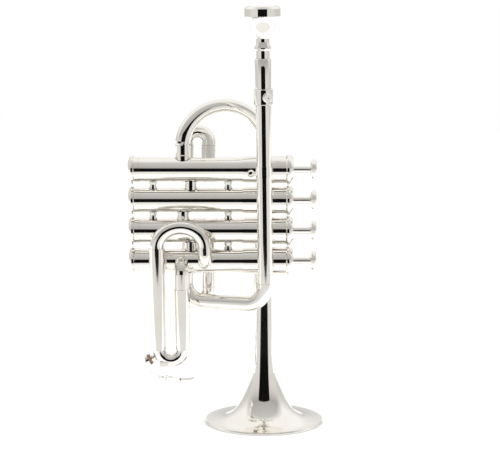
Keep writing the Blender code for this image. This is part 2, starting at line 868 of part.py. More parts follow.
def clamp_way():
    """The way that the clamp screw points, out from the leadpipe's axis."""
    angle = math.radians(CLAMP_SCREW_TURN)
    return LEADPIPE_TURN.to_3x3() @ Vector((math.sin(angle), -math.cos(angle), 0))


def clamp_hole(name):
    start = leadpipe(CLAMP_SCREW_Z)
    return rod_cutter(name, start, start + clamp_way() * 2 * COLLAR_R, CLAMP_SCREW_R + GAP, 12)


def build_sleeve():
    profile = [
        (SLEEVE_TUBE_R, SLEEVE_TUBE_TOP),
        (SLEEVE_TUBE_R, BRACE_FERRULE_TOP),
        (BRACE_FERRULE_R, BRACE_FERRULE_TOP),
        (BRACE_FERRULE_R, BRACE_FERRULE_BOTTOM),
        (SLEEVE_TUBE_R, BRACE_FERRULE_BOTTOM),
        (SLEEVE_TUBE_R, LOWER_FERRULE_TOP),
        (LOWER_FERRULE_R, LOWER_FERRULE_TOP),
        (LOWER_FERRULE_R, LOWER_FERRULE_BOTTOM),
        (SLEEVE_TUBE_BORE_R, LOWER_FERRULE_BOTTOM),
        (SLEEVE_TUBE_BORE_R, SLEEVE_TUBE_TOP),
    ]
    sleeve = leadpipe_piece("leadpipe_sleeve", profile, 16)
    cut(sleeve, clamp_hole("leadpipe_sleeve_hole"))


def build_collar():
    round_edge = 0.0005
    profile = [
        (COLLAR_R - round_edge, COLLAR_TOP),
        (COLLAR_R, COLLAR_TOP - round_edge),
        (COLLAR_R, COLLAR_BOTTOM + round_edge),
        (COLLAR_R - round_edge, COLLAR_BOTTOM),
        (SLEEVE_TUBE_R + GAP, COLLAR_BOTTOM),
        (SLEEVE_TUBE_R + GAP, COLLAR_TOP),
    ]
    collar = leadpipe_piece("clamp_collar", profile, 16)
    cut(collar, clamp_hole("clamp_collar_hole"))


def build_clamp_screw():
    tip = LEADPIPE_SHANK_R + GAP
    head = COLLAR_R + GAP
    end = head + CLAMP_HEAD
    pit = 0.0010
    profile = [
        (0.0, end - pit),
        (CLAMP_PIT_R, end - pit),
        (CLAMP_PIT_R, end),
        (0.85 * CLAMP_HEAD_R, end),
        (CLAMP_HEAD_R, end - 0.0006),
        (CLAMP_HEAD_R, head + 0.0004),
        (CLAMP_HEAD_R - 0.0004, head),
        (CLAMP_SCREW_R, head),
        (CLAMP_SCREW_R, tip),
        (0.0, tip),
    ]
    turned("clamp_screw", profile, leadpipe(CLAMP_SCREW_Z), clamp_way(), 16, silver)


def build_leadpipe():
    shoulder = COLLAR_TOP + GAP
    profile = [
        (SHANK_TOP_R + GAP + 0.0004, LEADPIPE_TOP),
        (LEADPIPE_MOUTH_R - 0.0006, LEADPIPE_TOP),
        (LEADPIPE_MOUTH_R, LEADPIPE_TOP - 0.0012),
        (LEADPIPE_R, shoulder),
        (LEADPIPE_SHANK_R, shoulder),
        (LEADPIPE_SHANK_R, LEADPIPE_SHANK_BOTTOM),
        (LEADPIPE_BORE_R, LEADPIPE_SHANK_BOTTOM),
        (LEADPIPE_BORE_R, LEADPIPE_TOP - RECEIVER_DEPTH),
        (SHANK_BOTTOM_R + GAP, LEADPIPE_TOP - RECEIVER_DEPTH),
    ]
    leadpipe_piece("leadpipe", profile, 16)


def build_mouthpiece():
    seat = LEADPIPE_TOP + GAP
    shank_end = LEADPIPE_TOP - RECEIVER_DEPTH + GAP
    rim_middle = (MOUTHPIECE_RIM_R + CUP_MOUTH_R) / 2
    throat_z = MOUTHPIECE_TOP - CUP_DEPTH
    profile = [
        (rim_middle, MOUTHPIECE_TOP),
        (MOUTHPIECE_RIM_R - 0.0012, MOUTHPIECE_TOP - 0.0006),
        (MOUTHPIECE_RIM_R, MOUTHPIECE_TOP - 0.0022),
        (MOUTHPIECE_RIM_R, MOUTHPIECE_RIM_BOTTOM + 0.0006),
        (MOUTHPIECE_RIM_R - 0.0006, MOUTHPIECE_RIM_BOTTOM),
        (0.0120, 0.3462),
        (0.0115, 0.3445),
        (MOUTHPIECE_CUP_R, 0.3432),
        (MOUTHPIECE_CUP_R - 0.0002, 0.3400),
        (0.0092, 0.3362),
        (0.0074, 0.3330),
        (MOUTHPIECE_NECK_R, 0.3308),
        (MOUTHPIECE_NECK_R, 0.3262),
        (0.0067, 0.3240),
        (0.0067, 0.3224),
        (MOUTHPIECE_NECK_R, 0.3209),
        (MOUTHPIECE_NECK_R, seat),
        (SHANK_TOP_R, seat),
        (SHANK_BOTTOM_R, shank_end),
        (BACKBORE_R, shank_end),
        (THROAT_R, throat_z - 0.0060),
        (THROAT_R, throat_z),
        (0.55 * CUP_MOUTH_R, throat_z + 0.0024),
        (0.86 * CUP_MOUTH_R, throat_z + 0.0056),
        (CUP_MOUTH_R, MOUTHPIECE_TOP - 0.0016),
    ]
    leadpipe_piece("mouthpiece", profile, 16)


def build_leadpipe_brace():
    """A round foot on valve 1's sleeve and a short rod to the ferrule on the leadpipe's sleeve."""
    foot_face = VALVE_Y - SLEEVE_R - GAP
    origin = at(BRACE_FOOT_X, foot_face, BRACE_Z)
    profile = [
        (0.0, 0.0034),
        (0.6 * BRACE_FOOT_R, 0.0031),
        (0.92 * BRACE_FOOT_R, 0.0020),
        (BRACE_FOOT_R, 0.0010),
        (BRACE_FOOT_R, -0.0020),
        (0.0, -0.0020),
    ]
    brace = turned("leadpipe_brace", profile, origin, -Y_AXIS, 14, silver)
    far = leadpipe(BRACE_Z)
    near = origin - Y_AXIS * 0.0012
    join(brace, rod_cutter("leadpipe_brace_rod", near, far, BRACE_ROD_R, 10))
    seat_start = leadpipe(BRACE_FERRULE_BOTTOM - 0.004)
    seat_end = leadpipe(BRACE_FERRULE_TOP + 0.004)
    cut(brace, rod_cutter("leadpipe_brace_pipe", seat_start, seat_end, BRACE_FERRULE_R + GAP, 36))
    sleeve_start = at(SLEEVE_FOOT_X, VALVE_Y, valve_z(1))
    sleeve_end = at(CASING_TOP_X, VALVE_Y, valve_z(1))
    cut(brace, rod_cutter("leadpipe_brace_seat", sleeve_start, sleeve_end, SLEEVE_R + GAP, 40))


def build_bottom_bow():
    start = leadpipe(LOWER_FERRULE_TOP)
    shoulder = leadpipe(LOWER_FERRULE_BOTTOM - GAP)
    bend_z = BOTTOM_BOW_Z + BOTTOM_BOW_BEND
    right = leadpipe(bend_z)
    left = at(BOTTOM_PORT_X, VALVE_Y, bend_z)
    run = left - right
    across = Vector((run.x, run.y, 0)).normalized()
    straight = Vector((run.x, run.y, 0)).length - 2 * BOTTOM_BOW_BEND
    route = Route(start, shoulder - start, BOTTOM_SPIGOT_R, LEADPIPE_BORE_R)
    route.mark(shoulder)
    route.step(BOTTOM_BOW_R, BOTTOM_BOW_BORE_R)
    route.mark(Vector((right.x, right.y, bend_z)))
    route.heading = -Z_AXIS
    route.bend(across, BOTTOM_BOW_BEND, 90, 5)
    route.ahead(straight)
    route.bend(Z_AXIS, BOTTOM_BOW_BEND, 90, 5)
    route.mark(Vector((left.x, left.y, valve_z(VALVE_COUNT))))
    bow = route_tube("bottom_bow", route, 4, silver)
    saddle(bow, VALVE_COUNT)


def build_leadpipe_line():
    build_sleeve()
    build_collar()
    build_clamp_screw()
    build_leadpipe()
    build_mouthpiece()
    build_leadpipe_brace()
    build_bottom_bow()


# Fourth slide


def slide4_route(points_and_sizes):
    """A route whose points are given for the upright slide and leaned afterwards."""
    route = points_and_sizes
    route.points = [SLIDE4_TURN @ point for point in route.points]
    return route


def build_slide4_bow():
    """Port elbow, upper bow and outer leg of the fourth slide, which stay with the casings."""
    reach = SLIDE4_FROM_VALVES - SLIDE4_ELBOW
    route = Route(at(SLIDE4_SHORT_X, VALVE_Y, LOWEST_VALVE_Z), -Y_AXIS, SLIDE4_TUBE_R, SLIDE4_BORE_R)
    route.ahead(reach)
    route.bend(Z_AXIS, SLIDE4_ELBOW, 90, 3)
    route.step(SLIDE4_FERRULE_R, SLIDE4_BORE_R)
    route.mark(at(SLIDE4_SHORT_X, SLIDE4_Y, SLIDE4_BOW_Z))
    route.step(SLIDE4_TUBE_R, SLIDE4_BORE_R)
    half = (SLIDE4_SHORT_X - SLIDE4_OUTER_X) / 2
    middle_x = (SLIDE4_SHORT_X + SLIDE4_OUTER_X) / 2
    steps = 9
    for i in range(1, steps + 1):
        angle = math.pi * i / steps
        z = SLIDE4_BOW_Z + SLIDE4_BOW_RISE * math.sin(angle)
        route.mark(at(middle_x + half * math.cos(angle), SLIDE4_Y, z))
    route.heading = -Z_AXIS
    route.step(SLIDE4_LEG_R, SLIDE4_BORE_R)
    route.ahead(0.0030)
    route.step(SLIDE4_LEG_R, SLIDE4_STOCKING_R + RUNNING_GAP)
    route.mark(at(SLIDE4_OUTER_X, SLIDE4_Y, SLIDE4_LEG_END))
    bow = route_tube("fourth_slide_bow", slide4_route(route), 3, silver)
    saddle(bow, VALVE_COUNT)


def build_slide4_leg():
    """The other outer leg, with its elbow into valve 4."""
    reach = SLIDE4_FROM_VALVES - SLIDE4_ELBOW
    route = Route(at(SLIDE4_INNER_X, VALVE_Y, LOWEST_VALVE_Z), -Y_AXIS, SLIDE4_TUBE_R, SLIDE4_BORE_R)
    route.ahead(reach)
    route.bend(-Z_AXIS, SLIDE4_ELBOW, 90, 3)
    route.step(SLIDE4_FERRULE_R, SLIDE4_BORE_R)
    route.mark(at(SLIDE4_INNER_X, SLIDE4_Y, SLIDE4_FERRULE_BOTTOM))
    route.heading = -Z_AXIS
    route.step(SLIDE4_LEG_R, SLIDE4_STOCKING_R + RUNNING_GAP)
    route.mark(at(SLIDE4_INNER_X, SLIDE4_Y, SLIDE4_LEG_END))
    leg = route_tube("fourth_slide_leg", slide4_route(route), 3, silver)
    saddle(leg, VALVE_COUNT)


def build_slide4_crook():
    """The part of the fourth slide that pulls out: two stockings, the crook and the nipple."""
    start = at(SLIDE4_INNER_X, SLIDE4_Y, SLIDE4_LEG_END + SLIDE4_STOCKING)
    route = Route(start, -Z_AXIS, SLIDE4_STOCKING_R, SLIDE4_BORE_R)
    route.mark(at(SLIDE4_INNER_X, SLIDE4_Y, SLIDE4_CROOK_Z))
    route.step(SLIDE4_TUBE_R, SLIDE4_BORE_R)
    route.bend(-X_AXIS, SLIDE4_SPACING / 2, 180, 8)
    route.step(SLIDE4_STOCKING_R, SLIDE4_BORE_R)
    route.mark(at(SLIDE4_OUTER_X, SLIDE4_Y, SLIDE4_LEG_END + SLIDE4_STOCKING))
    crook = route_tube("fourth_slide_crook", slide4_route(route), 3, silver)
    centre = crook_centre()
    way = key_way()
    ring = SLIDE4_SPACING / 2
    root = ring + SLIDE4_TUBE_R - 0.0006
    seat = ring + SLIDE4_TUBE_R + NIPPLE_REACH
    profile = [
        (0.0, seat),
        (NIPPLE_FLANGE_R, seat),
        (NIPPLE_FLANGE_R, seat - NIPPLE_FLANGE),
        (NIPPLE_R, seat - NIPPLE_FLANGE - 0.0004),
        (NIPPLE_R, root),
        (0.0, root),
    ]
    join(crook, turned_cutter("nipple", profile, centre, way, 14))
    drain = rod_cutter("nipple_bore", centre + way * ring, centre + way * (seat + 0.001), NIPPLE_BORE_R, 8)
    cut(crook, drain)


# Water key


def crook_centre():
    return slide4(SLIDE4_CROOK_X, SLIDE4_Y, SLIDE4_CROOK_Z)


def key_way():
    """The way from the crook's centre out through the nipple and the cork."""
    angle = math.radians(KEY_TURN)
    return SLIDE4_TURN.to_3x3() @ Vector((-math.cos(angle), 0, -math.sin(angle)))


def key_frame():
    """Local frame of the water key: its origin is on the pivot's axis, and Y is along the pin."""
    return SLIDE4_TURN @ Matrix.Translation(at(SLIDE4_CROOK_X + PIVOT_X, SLIDE4_Y, SLIDE4_CROOK_Z + PIVOT_Z))


def cork_seat():
    return SLIDE4_SPACING / 2 + SLIDE4_TUBE_R + NIPPLE_REACH + GAP


def build_cork():
    near = cork_seat()
    far = near + CORK_THICKNESS
    edge = 0.0003
    profile = [
        (0.0, far),
        (CORK_R, far),
        (CORK_R, near + edge),
        (CORK_R - edge, near),
        (0.0, near),
    ]
    turned("water_key_cork", profile, crook_centre(), key_way(), 16, cork)


def plate_mesh(name, outline, thickness):
    """A flat plate in the local XZ plane, centred on Y."""
    mesh = bpy.data.meshes.new(name)
    shape = bmesh.new()
    low = [shape.verts.new((x, -thickness / 2, z)) for x, z in outline]
    face = shape.faces.new(low)
    result = bmesh.ops.extrude_face_region(shape, geom=[face])
    moved = [item for item in result["geom"] if isinstance(item, bmesh.types.BMVert)]
    bmesh.ops.translate(shape, verts=moved, vec=(0, thickness, 0))
    bmesh.ops.recalc_face_normals(shape, faces=shape.faces)
    shape.to_mesh(mesh)
    shape.free()
    return mesh


def ribbon(points, thickness):
    """Outline of a strip of even thickness along points in the XZ plane."""
    left = []
    right = []
    for i, point in enumerate(points):
        before = points[max(i - 1, 0)]
        after = points[min(i + 1, len(points) - 1)]
        along = (after - before).normalized()
        side = Vector((-along.y, along.x)) * thickness / 2
        left.append(point + side)
        right.append(point - side)
    return left + right[::-1]


def key_local(x, z):
    """A point given from the crook's centre, in the water key's frame."""
    return Vector((x - PIVOT_X, z - PIVOT_Z))


def build_key_lever():
    frame = key_frame()
    angle = math.radians(KEY_TURN)
    out = Vector((-math.cos(angle), -math.sin(angle)))
    along = Vector((-out.y, out.x))
    cup_far = cork_seat() + CORK_THICKNESS + GAP + CORK_CUP_FLOOR
    cup_near = cork_seat() + CORK_THICKNESS - CORK_CUP_DEPTH
    cork_back = cork_seat() + CORK_THICKNESS + GAP
    back = key_local(*(out * (cup_far + 0.3 * KEY_ARM_THICKNESS)))
    low_edge = back + along * 0.6 * CORK_R
    bend = [
        back,
        low_edge,
        low_edge * 0.72 + Vector((-0.0022, -0.0030)),
        low_edge * 0.34 + Vector((-0.0030, -0.0016)),
        Vector((0.0, 0.0)),
    ]
    arm = plate_mesh("water_key_lever", ribbon(bend, KEY_ARM_THICKNESS), KEY_ARM_WIDTH)
    lever = add_part("water_key_lever", arm, silver, frame)
    half = BARREL_LENGTH / 2
    pivot = frame.translation
    pin_way = frame.to_3x3() @ Y_AXIS
    join(lever, rod_cutter("key_barrel", pivot - pin_way * half, pivot + pin_way * half, BARREL_R, 14))
    cup = [
        (0.0, cup_far),
        (CORK_R + GAP + CORK_CUP_WALL, cup_far),
        (CORK_R + GAP + CORK_CUP_WALL, cup_near),
        (CORK_R + GAP, cup_near),
        (CORK_R + GAP, cork_back),
        (0.0, cork_back),
    ]
    join(lever, turned_cutter("key_cup", cup, crook_centre(), key_way(), 16))
    tail_start = Vector((0.0, -0.0010))
    tail_end = Vector((THUMB_REACH - THUMB_LENGTH + 0.001, -0.0022))
    tail = plate_mesh("key_tail", ribbon([tail_start, tail_end], KEY_ARM_THICKNESS), KEY_ARM_WIDTH)
    join(lever, add_cutter("key_tail", tail, frame))
    thumb_points = [
        Vector((THUMB_REACH - THUMB_LENGTH, -0.0026)),
        Vector((THUMB_REACH - 0.0025, -0.0024)),
        Vector((THUMB_REACH, -0.0012)),
    ]
    thumb = plate_mesh("key_thumb", ribbon(thumb_points, THUMB_THICKNESS), THUMB_WIDTH)
    join(lever, add_cutter("key_thumb", thumb, frame))
    reach = half + EAR_THICKNESS
    hole = rod_cutter("key_hole", pivot - pin_way * reach, pivot + pin_way * reach, KEY_PIN_R + GAP, 12)
    cut(lever, hole)


def build_key_saddle():
    """Two ears on a pad that is soldered under the crook."""
    frame = key_frame()
    inner = BARREL_LENGTH / 2 + GAP
    width = 2 * (inner + EAR_THICKNESS)
    top = -PIVOT_Z - SLIDE4_SPACING / 2
    half = SADDLE_WIDTH / 2
    lean = -PIVOT_X * 0.25
    outline = [(half + lean, top), (-half + lean, top)]
    for i in range(7):
        angle = math.pi + math.pi * i / 6
        outline.append((EAR_R * math.cos(angle), EAR_R * math.sin(angle)))
    plate = plate_mesh("water_key_saddle", outline, width)
    piece = add_part("water_key_saddle", plate, silver, frame)
    slot = box_cutter("saddle_slot", (-0.01, -inner, -0.01), (0.01, inner, SADDLE_SLOT_TOP), frame)
    cut(piece, slot)
    ring = []
    for i in range(25):
        angle = math.pi + math.pi * i / 24
        x = SLIDE4_CROOK_X + SLIDE4_SPACING / 2 * math.cos(angle)
        z = SLIDE4_CROOK_Z + SLIDE4_SPACING / 2 * math.sin(angle)
        ring.append(slide4(x, SLIDE4_Y, z))
    room = swept_mesh("saddle_crook", ring, [SLIDE4_TUBE_R + GAP] * len(ring), 6)
    cut(piece, add_cutter("saddle_crook", room))
    way = frame.to_3x3() @ Y_AXIS
    reach = inner + 2 * EAR_THICKNESS
    pivot = frame.translation
    hole = rod_cutter("saddle_hole", pivot - way * reach, pivot + way * reach, KEY_PIN_R + GAP, 12)
    cut(piece, hole)


def build_key_pin():
    reach = BARREL_LENGTH / 2 + GAP + EAR_THICKNESS + GAP
    profile = [
        (0.0, reach + KEY_PIN_HEAD),
        (0.8 * KEY_PIN_HEAD_R, reach + KEY_PIN_HEAD),
        (KEY_PIN_HEAD_R, reach + 0.6 * KEY_PIN_HEAD),
        (KEY_PIN_HEAD_R, reach),
        (KEY_PIN_R, reach),
        (KEY_PIN_R, -reach),
        (0.0, -reach),
    ]
    frame = key_frame()
    turned("water_key_pin", profile, frame.translation, -(frame.to_3x3() @ Y_AXIS), 12, silver)


def build_key_spring():
    """A torsion spring on the lever's barrel. One leg bears on the saddle, the other on the tail."""
    per_turn = 8
    count = 2 * per_turn - per_turn // 4
    inner_y = KEY_ARM_WIDTH / 2 + GAP + KEY_SPRING_WIRE_R
    coil = []
    for i in range(count + 1):
        angle = -2 * math.pi * i / per_turn
        y = -inner_y - KEY_SPRING_PITCH * (count - i) / per_turn
        coil.append(Vector((KEY_SPRING_R * math.cos(angle), y, KEY_SPRING_R * math.sin(angle))))
    top = SADDLE_SLOT_TOP - GAP - KEY_SPRING_WIRE_R
    on_tail = KEY_ARM_THICKNESS / 2 - 0.0016 + GAP + KEY_SPRING_WIRE_R
    upper_leg = [Vector((coil[0].x, coil[0].y, top))]
    lower_leg = [
        Vector((0.8 * KEY_SPRING_LEG, coil[-1].y, on_tail + KEY_SPRING_WIRE_R)),
        Vector((KEY_SPRING_LEG, -0.2 * KEY_ARM_WIDTH, on_tail)),
    ]
    points = upper_leg + coil + lower_leg
    radii = [KEY_SPRING_WIRE_R] * len(points)
    mesh = swept_mesh("water_key_spring", points, radii, 1)
    add_part("water_key_spring", mesh, spring_steel, key_frame())
    report_spring_gap(coil)


def report_spring_gap(points):
    """Prints the least distance between the spring's turns, less the wire."""
    least = min(
        (points[i] - points[j]).length
        for i in range(len(points))
        for j in range(i + 6, len(points))
    )
    print(f"water_key_spring least gap {(least - 2 * KEY_SPRING_WIRE_R) * 1000:.2f} mm")


def build_water_key():
    build_cork()
    build_key_lever()
    build_key_saddle()
    build_key_pin()
    build_key_spring()


# Slides behind the valves


def rear_route(valve, x, lean, turn, leg):
    """Outer tube of a rear slide: out of the casing, round an elbow and along the slide's way.

    lean is the angle from the backward direction to the slide's way, and turn is the side, up or down.
    """
    start = at(x, VALVE_Y, valve_z(valve))
    route = Route(start, Y_AXIS, REAR_TUBE_R, REAR_BORE_R)
    route.ahead(REAR_ELBOW_REACH)
    if lean > 0:
        steps = max(2, round(lean / 22.5))
        route.bend(Z_AXIS * turn, REAR_ELBOW, lean, steps)
    route.step(REAR_TUBE_R, REAR_LEG_BORE_R)
    route.ahead(leg)
    return route


def build_rear_slide(name, valve, lean, turn, leg, straight):
    """A pair of outer legs tied by a brace, and the crook that pulls out of them."""
    routes = [rear_route(valve, x, lean, turn, leg) for x in REAR_PORTS_X]
    first = swept_mesh(f"{name}_slide_legs", routes[0].points, routes[0].radii, 3)
    legs = add_part(f"{name}_slide_legs", first, silver)
    other = swept_mesh(f"{name}_leg", routes[1].points, routes[1].radii, 3)
    join(legs, add_cutter(f"{name}_leg", other))
    way = routes[0].heading
    brace_at = [route.points[1] - Y_AXIS * 0.0004 for route in routes]
    join(legs, rod_cutter(f"{name}_brace", brace_at[0], brace_at[1], REAR_BRACE_R, 8))
    for number, route in enumerate(routes):
        bore = swept_mesh(f"{name}_bore_{number}", stretched(route.points, 0.002), route.bores, 3)
        cut(legs, add_cutter(f"{name}_bore_{number}", bore))
    saddle(legs, valve)
    build_rear_crook(f"{name}_slide_crook", routes, way, leg, straight)


def build_rear_crook(name, routes, way, leg, straight):
    low, high = routes[0].points[-1], routes[1].points[-1]
    stocking = leg - 0.0010
    route = Route(low - way * stocking, way, REAR_STOCKING_R, REAR_BORE_R)
    route.mark(low + way * GAP)
    route.step(REAR_TUBE_R, REAR_BORE_R)
    route.ahead(straight)
    route.bend(X_AXIS, (high - low).length / 2, 180, 6)
    route.ahead(straight)
    route.step(REAR_STOCKING_R, REAR_BORE_R)
    route.mark(high - way * stocking)
    route_tube(name, route, 3, silver)


def build_rear_slides():
    build_rear_slide("first", 1, 90 - FIRST_LEAN, 1, FIRST_LEG, FIRST_STRAIGHT)
    build_rear_slide("second", 2, 0, 1, SECOND_LEG, SECOND_STRAIGHT)
    build_rear_slide("third", 3, 90, -1, THIRD_LEG, THIRD_STRAIGHT)


def build_fourth_slide():
    build_slide4_bow()
    build_slide4_leg()
    build_slide4_crook()
    build_water_key()


def build_all():
    build_bell()
    build_valves()
    build_links()
    build_bow_ferrule()
    build_bell_bow()
    build_leadpipe_line()
    build_fourth_slide()
    build_rear_slides()


build_all()
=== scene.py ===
"""The piccolo trumpet dressed for its picture: finished surfaces, studio and camera."""

import json
import math

import bmesh
import bpy
from mathutils import Matrix, Vector

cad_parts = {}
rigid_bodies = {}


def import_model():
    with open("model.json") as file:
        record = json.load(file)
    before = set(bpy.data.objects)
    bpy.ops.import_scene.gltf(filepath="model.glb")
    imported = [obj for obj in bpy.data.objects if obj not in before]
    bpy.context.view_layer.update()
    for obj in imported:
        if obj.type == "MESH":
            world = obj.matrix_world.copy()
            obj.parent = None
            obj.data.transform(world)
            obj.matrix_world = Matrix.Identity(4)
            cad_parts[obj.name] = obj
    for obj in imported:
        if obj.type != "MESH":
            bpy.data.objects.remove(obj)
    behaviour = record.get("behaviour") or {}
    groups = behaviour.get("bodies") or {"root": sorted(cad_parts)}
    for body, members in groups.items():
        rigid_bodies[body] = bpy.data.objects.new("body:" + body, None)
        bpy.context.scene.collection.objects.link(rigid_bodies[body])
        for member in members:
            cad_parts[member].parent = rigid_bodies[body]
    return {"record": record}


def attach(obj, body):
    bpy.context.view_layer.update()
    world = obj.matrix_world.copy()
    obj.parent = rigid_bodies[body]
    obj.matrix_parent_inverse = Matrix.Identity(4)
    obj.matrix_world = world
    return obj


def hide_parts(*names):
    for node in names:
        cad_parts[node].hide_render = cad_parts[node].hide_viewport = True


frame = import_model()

for stray in ("Cube", "Light", "Camera"):
    if stray in bpy.data.objects:
        bpy.data.objects.remove(bpy.data.objects[stray])

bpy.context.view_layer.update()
FINISHED = {}

# Facets of the finished pieces, finer than those of the part
TUBE_RESOLUTION = 14
ROUND_SIDES = 64
SMALL_SIDES = 40
POST_SIDES = 48
ROD_SIDES = 32
PIN_HOLE_SIDES = 12
REAR_BRACE_SIDES = 24
DRAIN_SIDES = 8
SEAT_SIDES = 96
MOUTHPIECE_SIDES = 80
ELBOW_STEPS = 14
BOTTOM_BOW_STEPS = 20
REAR_CROOK_STEPS = 28
SLIDE4_CROOK_STEPS = 32
SLIDE4_BOW_STEPS = 40
SADDLE_RING_STEPS = 64
EAR_STEPS = 18
VALVE_SPRING_TURN_POINTS = 24
VALVE_SPRING_RESOLUTION = 2
KEY_SPRING_TURN_POINTS = 16
KEY_SPRING_RESOLUTION = 1
FLARE_STEPS = 40
FLARE_REACH = 0.94
REAR_BEND_DEGREES = 6
CREASE_DEGREES = 32
SPIN_MERGE = 0.00001
SWEEP_MERGE = 0.000001

# How far a bore's cutter runs past the tube's ends, and the length of a shoulder's slope
BORE_RUN_OUT = 0.002
SHOULDER = 0.00005
BOW_LEAD = 0.0008

# How deep a joined or cut shape reaches into its neighbour
SLIDE4_STOP = 0.0030
NIPPLE_ROOT = 0.0006
DRAIN_RUN_OUT = 0.001
STOCKING_CLEARANCE = 0.0010
REAR_BRACE_BACK = 0.0004
BRACE_ROD_ROOT = 0.0012
BRACE_SEAT_RUN_OUT = 0.004

OBJECT_NAME = "piccolo_trumpet"

# Fits between pieces
GAP = 0.0003
RUNNING_GAP = 0.0003

# Bell: a flared horn with a rolled rim, and a straight tail with a socket at its top
BELL_RIM_R = 0.0508
BELL_WALL = 0.0007
BELL_BEAD_R = 0.0011
BELL_FLARE_TOP = 0.045
BELL_FLARE_OFFSET = 0.00272
BELL_FLARE_POWER = 0.439
BELL_TAIL = ((0.062, 0.0129), (0.097, 0.0114), (0.123, 0.0105), (0.157, 0.0099), (0.207, 0.0080))
BELL_SOCKET_TOP = 0.2400
BELL_SOCKET_R = 0.0069
BELL_SOCKET_DEPTH = 0.0070
BELL_SIDES = 96

# Valves: four casings side by side, their axes along X in a plane in front of the bell
VALVE_COUNT = 4
VALVE_PITCH = 0.0257
LOWEST_VALVE_Z = 0.1438
VALVES_FROM_BELL = 0.0225
CASING_R = 0.0102
CASING_BORE_R = 0.0088
CASING_BOTTOM_X = -0.1044
SLEEVE_FOOT_X = -0.0196
SLEEVE_COVE = 0.0028
SLEEVE_FOOT_R = 0.0110
SLEEVE_R = 0.0113
CASING_TOP_X = 0.0156
THREAD_LENGTH = 0.0046
BOTTOM_THREAD_R = 0.0097
TOP_THREAD_R = 0.0104
CASING_SIDES = ROUND_SIDES

# Bottom caps
BOTTOM_CAP_END_X = -0.1140
BOTTOM_CAP_R = 0.0105
BOTTOM_CAP_RIM_R = 0.0119
BOTTOM_CAP_RIM_FROM = -0.1118
BOTTOM_CAP_RIM_TO = -0.1088
BOTTOM_CAP_FLOOR = 0.0020

# Top caps
TOP_CAP_R = 0.0114
TOP_CAP_RIM_R = 0.0125
TOP_CAP_RIM_FROM = 0.0180
TOP_CAP_RIM_TO = 0.0218
TOP_CAP_LIP_R = 0.0098
TOP_CAP_END_X = 0.0242
TOP_CAP_PLATE = 0.0022

# Pistons, stems, finger buttons and springs
STROKE = 0.0135
PISTON_BOTTOM_X = -0.0880
PISTON_TOP_X = 0.0170
PISTON_SEAT_DEPTH = 0.0080
PISTON_SEAT_R = 0.0074
PISTON_HOLLOW_X = -0.0240
PISTON_HOLLOW_R = 0.0074
PASSAGE_R = 0.0042
STEM_R = 0.0031
STEM_FOOT_R = 0.0080
STEM_SPIGOT = 0.0040
STEM_NECK_R = 0.0018
STEM_NECK = 0.0038
BUTTON_FROM_X = 0.0377
BUTTON_R = 0.0087
BUTTON_THICKNESS = 0.0058
BUTTON_NECK_R = 0.0045
SPRING_R = 0.0061
SPRING_WIRE_R = 0.0004
SPRING_TURNS = 5

# Ports, knuckles and the posts that brace the casings
PORT_R = 0.0046
UPPER_PORT_X = (-0.0682, -0.0616, -0.0681, -0.0616)
KNUCKLE_R = 0.0055
KNUCKLE_BORE_R = 0.0047
POST_CAP_END_X = -0.0932
POST_BUTTON_END_X = -0.0305
POST_R = 0.0036
POST_WAIST_R = 0.0030

# Bell bow, from the ferrule on valve 1 over to the bell's socket
BOW_RISE = 0.0330
BOW_START_Z = 0.2402
BOW_FERRULE_TOP = 0.2414
BOW_FERRULE_RING = 0.2335
BOW_FERRULE_R = 0.0068
BOW_RADII = (0.0066, 0.0060, 0.0057, 0.0056, 0.0060)
BOW_BORE_R = 0.0049
BOW_SPIGOT_R = 0.0056
BOW_STEPS = 48

# Leadpipe line, in front of the valves and leaning a little to the caps' side
LEADPIPE_FROM_VALVES = 0.0195
LEADPIPE_LEAN = 0.7
LEADPIPE_FOOT_X = 0.0023
SLEEVE_TUBE_R = 0.00645
SLEEVE_TUBE_BORE_R = 0.0056
SLEEVE_TUBE_TOP = 0.2894
LOWER_FERRULE_R = 0.0069
LOWER_FERRULE_TOP = 0.1363
LOWER_FERRULE_BOTTOM = 0.1285
BRACE_FERRULE_R = 0.0070
BRACE_FERRULE_TOP = 0.2258
BRACE_FERRULE_BOTTOM = 0.2169
COLLAR_R = 0.0078
COLLAR_BOTTOM = 0.2767
COLLAR_TOP = 0.2897
CLAMP_SCREW_Z = 0.2830
CLAMP_SCREW_TURN = 20.0
CLAMP_SCREW_R = 0.0015
CLAMP_HEAD_R = 0.0039
CLAMP_HEAD = 0.0032
CLAMP_PIT_R = 0.0009
LEADPIPE_R = 0.0064
LEADPIPE_MOUTH_R = 0.0067
LEADPIPE_TOP = 0.3145
LEADPIPE_SHANK_R = 0.0053
LEADPIPE_SHANK_BOTTOM = 0.2150
LEADPIPE_BORE_R = 0.0044
RECEIVER_DEPTH = 0.0240
SHANK_TOP_R = 0.0049
SHANK_BOTTOM_R = 0.0043

# Mouthpiece, in heights above the bell's mouth
MOUTHPIECE_TOP = 0.3571
MOUTHPIECE_RIM_R = 0.0147
MOUTHPIECE_RIM_BOTTOM = 0.3482
MOUTHPIECE_CUP_R = 0.0106
MOUTHPIECE_NECK_R = 0.0054
CUP_MOUTH_R = 0.0084
CUP_DEPTH = 0.0115
THROAT_R = 0.0018
BACKBORE_R = 0.0034

# Brace from the leadpipe to valve 1
BRACE_FOOT_X = -0.0113
BRACE_Z = 0.2192
BRACE_FOOT_R = 0.0031
BRACE_ROD_R = 0.0014

# Bottom bow, from the leadpipe's sleeve up into valve 4
BOTTOM_BOW_R = 0.0064
BOTTOM_BOW_BORE_R = 0.0055
BOTTOM_BOW_BEND = 0.0164
BOTTOM_BOW_Z = 0.1100
BOTTOM_PORT_X = -0.0670
BOTTOM_SPIGOT_R = 0.0053

